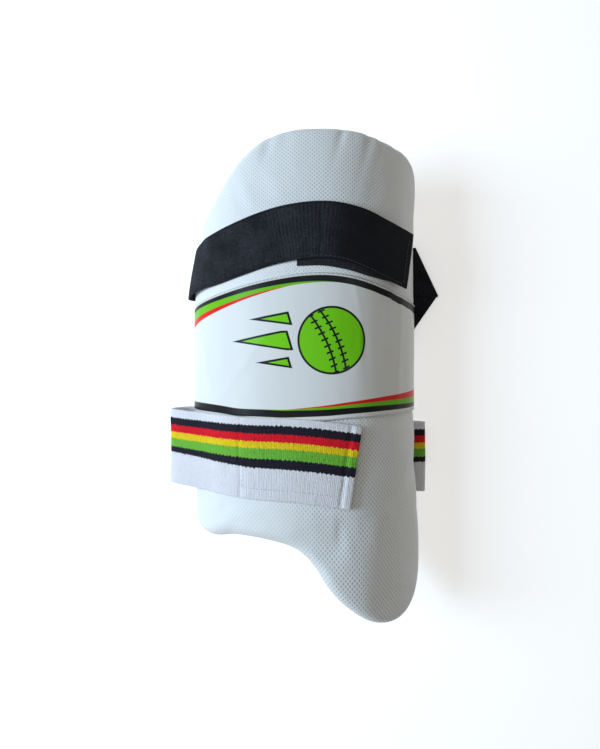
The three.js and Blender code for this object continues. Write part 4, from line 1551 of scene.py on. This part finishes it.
@dataclass(frozen=True)
class PrintedVinyl:
    """White glossy film with printed stripes along its seams and a flying ball."""

    film: Colour = (0.69, 0.70, 0.695)
    black: Colour = (0.012, 0.012, 0.014)
    green: Colour = (0.14, 0.46, 0.01)
    motif: Colour = (0.17, 0.58, 0.012)
    red: Colour = (0.70, 0.012, 0.012)
    line: float = 1.7 * MM
    ball_along: float = 1 * MM
    ball_height: float = 27 * MM
    ball_radius: float = 27 * MM
    soft: float = 0.25 * MM
    seam_slant: float = math.radians(24)
    seam_bow: float = 5.0
    rail_away: float = 4.2 * MM
    rail_half: float = 0.8 * MM
    tick_pitch: float = 5.4 * MM
    tick_half: float = 0.75 * MM
    tick_from: float = 1.9 * MM
    tick_to: float = 7.6 * MM
    bar_slant: float = 0.3
    bar_taper: float = 46 * MM
    bar_clear: float = 5.5 * MM
    bars: tuple[tuple[float, float, float], ...] = (
        (17.5 * MM, -68 * MM, 7.2 * MM), (0.0, -84 * MM, 7.8 * MM), (-17.5 * MM, -62 * MM, 7.2 * MM),
    )

    def below(self, value: Number, edge: "Number | float") -> Number:
        """Mask of 1 where a value is less than an edge, with a soft boundary."""
        return (edge - value).step(-self.soft, self.soft)

    def ball(self, wires: Wires, along: Number, y: Number) -> tuple[Number, Number]:
        """The flying ball: a disc with a stitched seam band, and three bars behind it.

        Each part is a signed distance, less than 0 inside: the disc is r - R, a bar is
        a wedge that narrows away from the ball, and the seam is a slanting double line
        with short stitches across it. The parts join by the least distance.

        Args:
            wires: The material's wires.
            along: Distance from the ridge.
            y: Distance along the guard.

        Returns:
            Masks of the whole figure with its dark outline, and of its green inside.
        """
        x, z = along - self.ball_along, y - self.ball_height
        disc = wires.math("SQRT", x * x + z * z) - self.ball_radius
        square = x * math.cos(self.seam_slant) + z * math.sin(self.seam_slant)
        way = z * math.cos(self.seam_slant) - x * math.sin(self.seam_slant)
        away = (square + way * way * self.seam_bow).size()
        rails = (away - self.rail_away).size() - self.rail_half
        ticks = (way / self.tick_pitch).cell().size() * self.tick_pitch - self.tick_half
        seam = rails.least(ticks.most(away - self.tick_to).most(self.tick_from - away))
        whole = disc
        inside = (disc + self.line).most(0.0 - seam)
        for level, tail, half in self.bars:
            height = z - level
            lean = x + height * self.bar_slant
            clear = lean + self.ball_radius + self.bar_clear
            wedge = height.size() - ((lean - tail) / self.bar_taper).least(1.0) * half
            whole = whole.least(wedge.most(tail - lean).most(clear))
            inside = inside.least((wedge + self.line).most(clear + 2 * MM))
        return self.below(whole, 0.0), self.below(inside, 0.0)

    def material(self) -> bpy.types.Material:
        """Builds the film: stripes by the distance from each seam, tapering along them."""
        wires = Wires("printed_vinyl", IOR=1.3, Specular_IOR_Level=0.13)
        along, y = wires.unrolled()
        down, up = wires.unrolled("Edges")
        grow = (along + 120 * MM) / (240 * MM)
        top_black = 3.4 * MM + grow.most(0.0) * 3.0 * MM
        top_green = ((8 * MM - along) / (150 * MM)).most(0.0) * 7.5 * MM
        top_red = ((-30 * MM - along) / (110 * MM)).most(0.0) * 5.6 * MM
        low_black = 6.6 * MM - grow.most(0.0) * 3.2 * MM
        low_green = ((along + 60 * MM) / (170 * MM)).most(0.0) * 5.6 * MM
        low_red = ((along + 34 * MM) / (145 * MM)).most(0.0) * 6.4 * MM
        wobble = (wires.noise(55.0, 2.0) - 0.5) * along.step(15 * MM, 60 * MM) * 3.2 * MM
        colour: object = self.film
        for distance, start, black, green, red in (
            (down + wobble, 2.1 * MM, top_black, top_green, top_red),
            (up, along.step(-84 * MM, -40 * MM) * 3.5 * MM + 0.3 * MM, low_black, low_green, low_red),
        ):
            past = 1.0 - self.below(distance, start)
            to_black, to_green = black + start, black + green + start
            to_red = to_green + red
            colour = wires.blend(past * self.below(distance, to_red), colour, self.red)
            colour = wires.blend(past * self.below(distance, to_green), colour, self.green)
            colour = wires.blend(past * self.below(distance, to_black), colour, self.black)
        dark, fill = self.ball(wires, along, y)
        colour = wires.blend(dark, colour, self.black)
        colour = wires.blend(fill, colour, self.motif)
        smear = wires.noise(14.0, 4.0)
        colour = wires.blend(smear.step(0.45, 0.8) * 0.06, colour, (0.55, 0.57, 0.6))
        wires.feed("Base Color", colour)
        wires.feed("Roughness", smear * 0.14 + 0.24)
        grain = wires.noise(900.0, 2.0)
        ripple = wires.noise(38.0, 2.0, (1.0, 0.55, 1.0))
        wires.raise_by(ripple + grain * 0.02, 1.6 * MM, 0.35)
        return wires.material


@dataclass(frozen=True)
class BlackElastic:
    """Black woven elastic: fine ribs across, a thread line by each edge, a soft sheen."""

    yarn: Colour = (0.007, 0.0075, 0.010)
    # Lighter blue-grey tone: part random wear, part painted sheen.
    wear_and_sheen: Colour = (0.042, 0.045, 0.056)
    width: float = 44.5 * MM

    def material(self) -> bpy.types.Material:
        """Builds the elastic on its length and place across."""
        wires = Wires("black_elastic", Roughness=0.8, Specular_IOR_Level=0.1, Sheen_Weight=0.04,
                      Sheen_Roughness=0.4, Sheen_Tint=(0.55, 0.62, 0.8, 1.0))
        length, across = wires.unrolled()
        cords = (length * (2 * math.pi / (0.95 * MM))).wave()
        picks = (across * (2 * math.pi / (0.8 * MM))).wave()
        edge = across.least(self.width - across)
        line = 1.0 - (edge - 1.9 * MM).size().step(0.2 * MM, 0.6 * MM)
        patchy = wires.noise(60.0, 5.0) * 0.5 + wires.noise(650.0, 2.0) * 0.5
        # Painted shade: the lighter tone is held back at the free end, so that end is darker.
        shaded_free_end = 1.0 - length.step(60 * MM, 92 * MM)
        shade = patchy.step(0.3, 0.8) * (1.0 - shaded_free_end * 0.8)
        # Painted sheen: the lighter blue-grey tone laid on in random patches, partly wear.
        colour = wires.blend(shade * 0.8, self.yarn, self.wear_and_sheen)
        gathered = length.step(68 * MM, 84 * MM) * (1.0 - length.step(112 * MM, 140 * MM))
        lean = wires.noise(30.0, 2.0)
        # Painted highlights: lighter lines on the tops of the gathered ribs.
        rib_highlights = ((length + lean * 4.0 * MM) * (2 * math.pi / (2.9 * MM))).wave().step(-0.2, 1.0)
        colour = wires.blend(rib_highlights * gathered * 0.3, colour, (0.05, 0.054, 0.065))
        colour = wires.blend(line * 0.5, colour, (0.004, 0.004, 0.006))
        wires.feed("Base Color", colour)
        wires.raise_by(cords * 0.5 + cords * picks * 0.5 - line * 0.8 + patchy * 0.4, 0.22 * MM, 0.9)
        return wires.material


@dataclass(frozen=True)
class FastenerTape:
    """Fastener tape: a brushed nap of loops, or rows of small hooks."""

    name: str
    dark: Colour = (0.008, 0.008, 0.011)
    light: Colour = (0.028, 0.028, 0.036)
    nap: float = 900.0

    def material(self) -> bpy.types.Material:
        """Builds the nap from coarse and fine noise."""
        wires = Wires(self.name, Roughness=0.95, Specular_IOR_Level=0.3, Sheen_Weight=0.08,
                      Sheen_Roughness=0.6)
        fuzz = wires.noise(self.nap, 4.0)
        tufts = wires.noise(self.nap / 5, 2.0)
        wires.feed("Base Color", wires.blend(fuzz.step(0.4, 0.75), self.dark, self.light))
        wires.raise_by(fuzz + tufts * 0.6, 0.9 * MM, 1.0)
        return wires.material


@dataclass(frozen=True)
class KnitElastic:
    """White knitted elastic with stripes whose edges step from rib to rib."""

    white: Colour = (0.93, 0.92, 0.97)
    black: Colour = (0.02, 0.018, 0.03)
    red: Colour = (0.90, 0.014, 0.03)
    yellow: Colour = (1.0, 0.72, 0.02)
    green: Colour = (0.20, 0.58, 0.06)
    width: float = 66 * MM
    rib: float = 1.4 * MM
    scallop: float = 3.5 * MM
    row: float = 1.1 * MM
    bands: tuple[tuple[float, float, str], ...] = (
        (0.11, -0.018, "black"), (0.206, -0.012, "red"), (0.303, -0.014, "yellow"),
        (0.39, -0.02, "green"), (0.50, -0.004, "black"), (0.578, 0.035, "white"),
    )

    def material(self) -> bpy.types.Material:
        """Builds the knit: stitches as small slanting loops in ribs, stripes by the row."""
        wires = Wires("knit_elastic", Roughness=0.95, Specular_IOR_Level=0.15)
        length, across = wires.unrolled()
        fuzz = wires.noise(420.0, 3.0)
        drift = wires.noise(70.0, 2.0)
        curl = wires.noise(260.0, 3.0)
        ribs = ((length + drift * 2.2 * MM + curl * 0.6 * MM) / self.rib).cell()
        scallops = ((length + drift * 3.0 * MM) / self.scallop).cell()
        jag = (0.25 - scallops * scallops) * 3.4 * MM + ribs.size() * 1.0 * MM + fuzz * 2.0 * MM
        share = (across + jag - 1.8 * MM) / self.width
        colour: object = self.white
        tight = 1.0 - length.step(60 * MM, 170 * MM)
        for start, gain, name in self.bands:
            edge = start + tight * gain
            colour = wires.blend((share - edge).step(-0.004, 0.004), colour, getattr(self, name))
        slant = (across / self.row + ribs.size() * 1.3 + fuzz * 0.5).cell().size()
        loops = 1.0 - slant.step(0.15, 0.5)
        groove = ribs.size().step(0.24, 0.5)
        terry = wires.noise(800.0, 3.0, (1.0, 0.6, 1.0))
        dyed = share.step(0.08, 0.12) * (1.0 - share.step(0.57, 0.61))
        shade = groove * 0.14 + (1.0 - loops) * 0.12 + terry.step(0.5, 0.72) * (dyed * 0.24 + 0.08)
        wires.feed("Base Color", wires.blend(shade, colour, (0.22, 0.21, 0.26), Blend.MULTIPLY))
        height = (1.0 - groove) * 0.55 + loops * 0.5 + fuzz * 1.1 + terry * 0.8 + curl * 0.9
        wires.raise_by(height, 0.6 * MM, 1.0)
        return wires.material


@dataclass(frozen=True)
class Thread:
    """Sewing thread: plain twisted yarn."""

    name: str
    yarn: Colour

    def material(self) -> bpy.types.Material:
        """Builds the yarn with a fine uneven tone."""
        wires = Wires(self.name, Roughness=0.7, Sheen_Weight=0.1)
        twist = wires.noise(1500.0, 2.0)
        darker = tuple(0.6 * part for part in self.yarn)
        wires.feed("Base Color", wires.blend(twist.step(0.35, 0.7), darker, self.yarn))
        return wires.material


@dataclass
class Stitches:
    """Runs of thread stitches, each a small rounded capsule lying along its seam."""

    length: float = 2.6 * MM
    gap: float = 0.9 * MM
    radius: float = 0.28 * MM
    around: int = 6
    steps: int = 5

    def run(self, path: Array, up: Array) -> tuple[Array, Array]:
        """Lays stitches along a path.

        A stitch is a capsule along the path. Its thickness follows the square root of
        1 - t^6 from end to end, and its middle bows up by its radius.

        Args:
            path: Dense points of the seam.
            up: The way out of the cloth at each point.

        Returns:
            Points and quads of all the stitches.
        """
        total = lengths_of(path)
        starts = np.arange(self.gap, total[-1] - self.length, self.length + self.gap)
        share = np.linspace(0.0, 1.0, self.steps)
        at = starts[:, None] + share[None, :] * self.length
        middle, out = read_at(at, total, path), read_at(at, total, up)
        out /= np.linalg.norm(out, axis=-1, keepdims=True)
        way = np.gradient(middle, axis=1)
        way /= np.linalg.norm(way, axis=-1, keepdims=True)
        side = np.cross(way, out)
        bow = np.sin(share * math.pi)[None, :, None]
        girth = self.radius * np.sqrt(np.clip(1.0 - (2.0 * share - 1.0) ** 6, 0.04, 1.0))[None, :, None, None]
        middle = middle + out * self.radius * (0.2 + 0.7 * bow)
        turn = np.linspace(0.0, 2 * math.pi, self.around, endpoint=False)[None, None, :, None]
        ring = middle[:, :, None] + girth * (np.cos(turn) * side[:, :, None] + np.sin(turn) * out[:, :, None])
        count = len(starts)
        index = np.arange(count * self.steps * self.around).reshape(count, self.steps, self.around)
        after = np.roll(index, -1, axis=2)
        quads = np.stack([index[:, :-1], index[:, 1:], after[:, 1:], after[:, :-1]], axis=-1).reshape(-1, 4)
        ends = ((0, [0, 1, 2, 3]), (0, [0, 3, 4, 5]), (-1, [3, 2, 1, 0]), (-1, [5, 4, 3, 0]))
        caps = [index[:, end][:, corners] for end, corners in ends]
        return ring.reshape(-1, 3), np.vstack([quads, *caps])

    def piece(self, name: str, runs: list[tuple[Array, Array]]) -> bpy.types.Object:
        """Joins several runs of stitches into one object.

        Args:
            name: The piece's name.
            runs: Paths and the ways out of the cloth.

        Returns:
            The new object.
        """
        points, faces, base = [], [], 0
        for path, up in runs:
            place, quad = self.run(path, up)
            points.append(place)
            faces.append(quad + base)
            base += len(place)
        all_points, all_faces = np.vstack(points), np.vstack(faces)
        if MeshKit.volume(all_points, all_faces) < 0:
            all_faces = all_faces[:, ::-1]
        return MeshKit.build(name, all_points, all_faces)


@dataclass
class Seams:
    """Where thread shows: beside the printed skin and on the straps' sewn places."""

    upper: UpperStrap
    lower: LowerStrap
    stitches: Stitches = field(default_factory=Stitches)

    @staticmethod
    def on_face(along: Array, y: Array, height: float) -> tuple[Array, Array]:
        """A path over the pad's face and the way out of it."""
        path = FORM.over(along, y, height)
        return path, FORM.over(along, y, height + 1 * MM) - path

    @staticmethod
    def on_line(strap: Strap, start: float, end: float, side: float, rise: float) -> tuple[Array, Array]:
        """A path along a strap, over its outer face.

        Args:
            strap: The strap.
            start: Share of the front line where the path starts.
            end: Share where it ends.
            side: Place across, from -1 to 1 at the upper edge.
            rise: Height over the strap's plain outer face.

        Returns:
            The path and the way out of the strap.
        """
        rows = BandKit.front(strap.line(), np.array([side]), strap.width, 1 * MM, 200,
                             -strap.thickness - rise, start, end)
        return rows[:, 0, 0], rows[:, 1, 0] - rows[:, 0, 0]

    @staticmethod
    def across_line(strap: Strap, at: float, low: float, high: float, rise: float) -> tuple[Array, Array]:
        """A path across a strap, over its outer face.

        Args:
            strap: The strap.
            at: Share of the front line.
            low: Place across where the path starts.
            high: Place across where it ends.
            rise: Height over the strap's plain outer face.

        Returns:
            The path and the way out of the strap.
        """
        rows = BandKit.front(strap.line(), np.linspace(low, high, 120), strap.width, 1 * MM, 5,
                             -strap.thickness - rise, at - 0.004, at + 0.004)
        return rows[2, 0], rows[2, 1] - rows[2, 0]

    def panel_runs(self) -> list[tuple[Array, Array]]:
        """Rows of stitches in the margins of the printed skin."""
        edges, height = PrintPanel.dense_edges(), GAP + 0.7 * MM
        top = self.on_face(edges[:, 0], edges[:, 1] - 1.1 * MM, height)
        edges = edges[edges[:, 0] > -45 * MM]
        return [top, self.on_face(edges[:, 0], edges[:, 2] + 1.3 * MM, height)]

    def knit_runs(self) -> list[tuple[Array, Array]]:
        """Rows of stitches round the hook tab on the knitted strap, and across its hem."""
        return [
            self.on_line(self.lower, 0.27, 0.91, -0.73, 0.1 * MM),
            self.across_line(self.lower, 0.262, -0.73, -0.2, 0.15 * MM),
            self.across_line(self.lower, 0.918, -0.94, -0.2, 0.0),
        ]

    def strap_runs(self) -> list[tuple[Array, Array]]:
        """Rows of stitches round the hook tab on the black strap."""
        return [
            self.on_line(self.upper, 0.60, 0.975, -0.92, 0.0),
            self.across_line(self.upper, 0.975, -0.86, 0.86, 0.15 * MM),
        ]


@dataclass(frozen=True)
class Lamp:
    """A square area light that faces the guard."""

    name: str
    place: tuple[float, float, float]
    size: float
    power: float
    colour: Colour

    def hang(self) -> None:
        """Adds the light, turned so that it faces the origin."""
        data = bpy.data.lights.new(self.name, "AREA")
        data.size = self.size
        data.energy = self.power
        data.color = self.colour
        lamp = bpy.data.objects.new(self.name, data)
        x, y, z = self.place
        lamp.location = self.place
        lamp.rotation_euler = (math.atan2(math.hypot(x, y), z), 0.0, math.atan2(x, -y))
        bpy.context.scene.collection.objects.link(lamp)


@dataclass
class Studio:
    """A pale floor, the camera straight above and soft light from a window on the left."""

    photo_height: int = 749
    focal_pixels: float = 546.0
    above_ridge: float = 430 * MM
    floor_reach: float = 4.0
    floor_drop: float = 0.4 * MM
    floor_glow: float = 0.48
    surround: tuple[float, float, float, float] = (1.0, 0.93, 0.80, 1.0)
    surround_low: float = 0.55
    surround_high: float = 0.14
    lamps: tuple[Lamp, ...] = (
        Lamp("window", (-1.24, 0.12, 0.84), 0.7, 22.0, (0.65, 0.83, 1.0)),
        Lamp("ceiling", (-0.45, 0.2, 1.5), 1.2, 5.0, (0.96, 0.97, 0.96)),
    )

    def floor(self) -> None:
        """Lays a wide pale floor just under the height that the guard rests on."""
        square = np.array([[-1, -1, 0], [1, -1, 0], [1, 1, 0], [-1, 1, 0]]) * self.floor_reach
        plane = MeshKit.build("floor", square - [0, 0, self.floor_drop], np.array([[0, 1, 2, 3]]))
        wires = Wires("pale_floor", Roughness=0.9, Base_Color=(0.9, 0.9, 0.9, 1.0),
                      Emission_Color=(1.0, 1.0, 1.0, 1.0), Emission_Strength=self.floor_glow)
        plane.data.materials.append(wires.material)

    def camera(self, shift: Array) -> None:
        """Puts the camera over the photograph's middle, looking straight down.

        Args:
            shift: Way from the photograph's middle to the frame's origin.
        """
        data = bpy.data.cameras.new("camera")
        data.lens = data.sensor_width * self.focal_pixels / self.photo_height
        data.clip_start = 10 * MM
        camera = bpy.data.objects.new("camera", data)
        camera.location = (shift[0], shift[1], FORM.rise + self.above_ridge)
        bpy.context.scene.collection.objects.link(camera)
        bpy.context.scene.camera = camera

    def light(self) -> None:
        """Hangs the lamps, and sets a surround that is pale low down and dim above."""
        for lamp in self.lamps:
            lamp.hang()
        world = bpy.data.worlds.new("surround")
        world.use_nodes = True
        nodes = Nodes(world.node_tree)
        place = nodes.add("ShaderNodeTexCoord")
        split = nodes.add("ShaderNodeSeparateXYZ", None, {0: place.outputs["Generated"]})
        sockets = {"Value": split.outputs["Z"], "From Min": 0.02, "From Max": 0.45,
                   "To Min": self.surround_low, "To Max": self.surround_high}
        level = nodes.add("ShaderNodeMapRange", SMOOTH, sockets)
        nodes.fill(world.node_tree.nodes["Background"],
                   {"Color": self.surround, "Strength": level.outputs["Result"]})
        bpy.context.scene.world = world
        bpy.context.scene.view_settings.view_transform = "Standard"


def dress(piece: bpy.types.Object, material: bpy.types.Material, shift: Array, slot: str,
          *nodes: str) -> None:
    """Moves a piece's points into the frame, dresses it and declares it.

    Args:
        piece: The new piece.
        material: Its finish.
        shift: Way from the photograph's middle to the frame's origin.
        slot: The record's material slot that it takes.
        *nodes: CAD nodes that it replaces.
    """
    mesh = piece.data
    places = np.empty(len(mesh.vertices) * 3, dtype=np.float32)
    mesh.vertices.foreach_get("co", places)
    mesh.vertices.foreach_set("co", (places.reshape(-1, 3) + shift.astype(np.float32)).ravel())
    mesh.update()
    mesh.materials.append(material)
    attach(piece, "root")
    if nodes:
        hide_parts(*nodes)
    LOG.info("%s: %d faces", piece.name, len(mesh.polygons))


def frame_shift(lower: LowerStrap) -> Array:
    """Finds where the frame's origin lies from the photograph's middle.

    The lower strap's fold is its outermost and lowest corner in both.

    Args:
        lower: The knitted strap.

    Returns:
        The way to the origin.
    """
    low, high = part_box("lower_strap")
    reach = lower.fold_reach + GAP / 2 + lower.thickness
    foot = lower.fold_height - lower.width / 2
    return np.array([high[0] - reach, low[1] - foot, 0.0])


def main() -> None:
    """Builds the guard's pieces in order, the floor, the camera and the light."""
    logging.basicConfig(level=logging.INFO, format="%(name)s %(message)s")
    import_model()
    upper, lower = UpperStrap(), LowerStrap()
    shift = frame_shift(lower)
    studio = Studio()
    studio.floor()
    studio.camera(shift)
    studio.light()

    pad = GuardPad().build()
    dress(pad, MeshCover().material(), shift, "mesh_cover", "guard_pad")
    panel = PrintPanel().build()
    dress(panel, PrintedVinyl().material(), shift, "printed_vinyl", "print_panel")

    strap, tab, patch = upper.build()
    hooks = FastenerTape("hook_tape").material()
    dress(strap, BlackElastic().material(), shift, "black_elastic", "upper_strap")
    upper.cut_length()
    dress(tab, hooks, shift, "hook_tape", "upper_hook_tab")
    dress(patch, FastenerTape("loop_tape", nap=600.0).material(), shift, "loop_tape", "loop_patch")

    knit, knit_tab = lower.build()
    dress(knit, KnitElastic().material(), shift, "knit_elastic", "lower_strap")
    lower.cut_length()
    dress(knit_tab, hooks, shift, "hook_tape", "lower_hook_tab")

    seams = Seams(upper, lower)
    white, black = Thread("white_thread", (0.78, 0.78, 0.8)), Thread("black_thread", (0.07, 0.07, 0.08))
    panel_rows = seams.stitches.piece("panel_stitches", seams.panel_runs())
    dress(panel_rows, white.material(), shift, "printed_vinyl")
    knit_rows = seams.stitches.piece("knit_stitches", seams.knit_runs())
    dress(knit_rows, white.material(), shift, "knit_elastic")
    fine = Stitches(length=3.2 * MM, gap=0.3 * MM, radius=0.2 * MM)
    strap_rows = fine.piece("strap_stitches", seams.strap_runs())
    dress(strap_rows, black.material(), shift, "black_elastic")


if __name__ == "__main__":
    main()
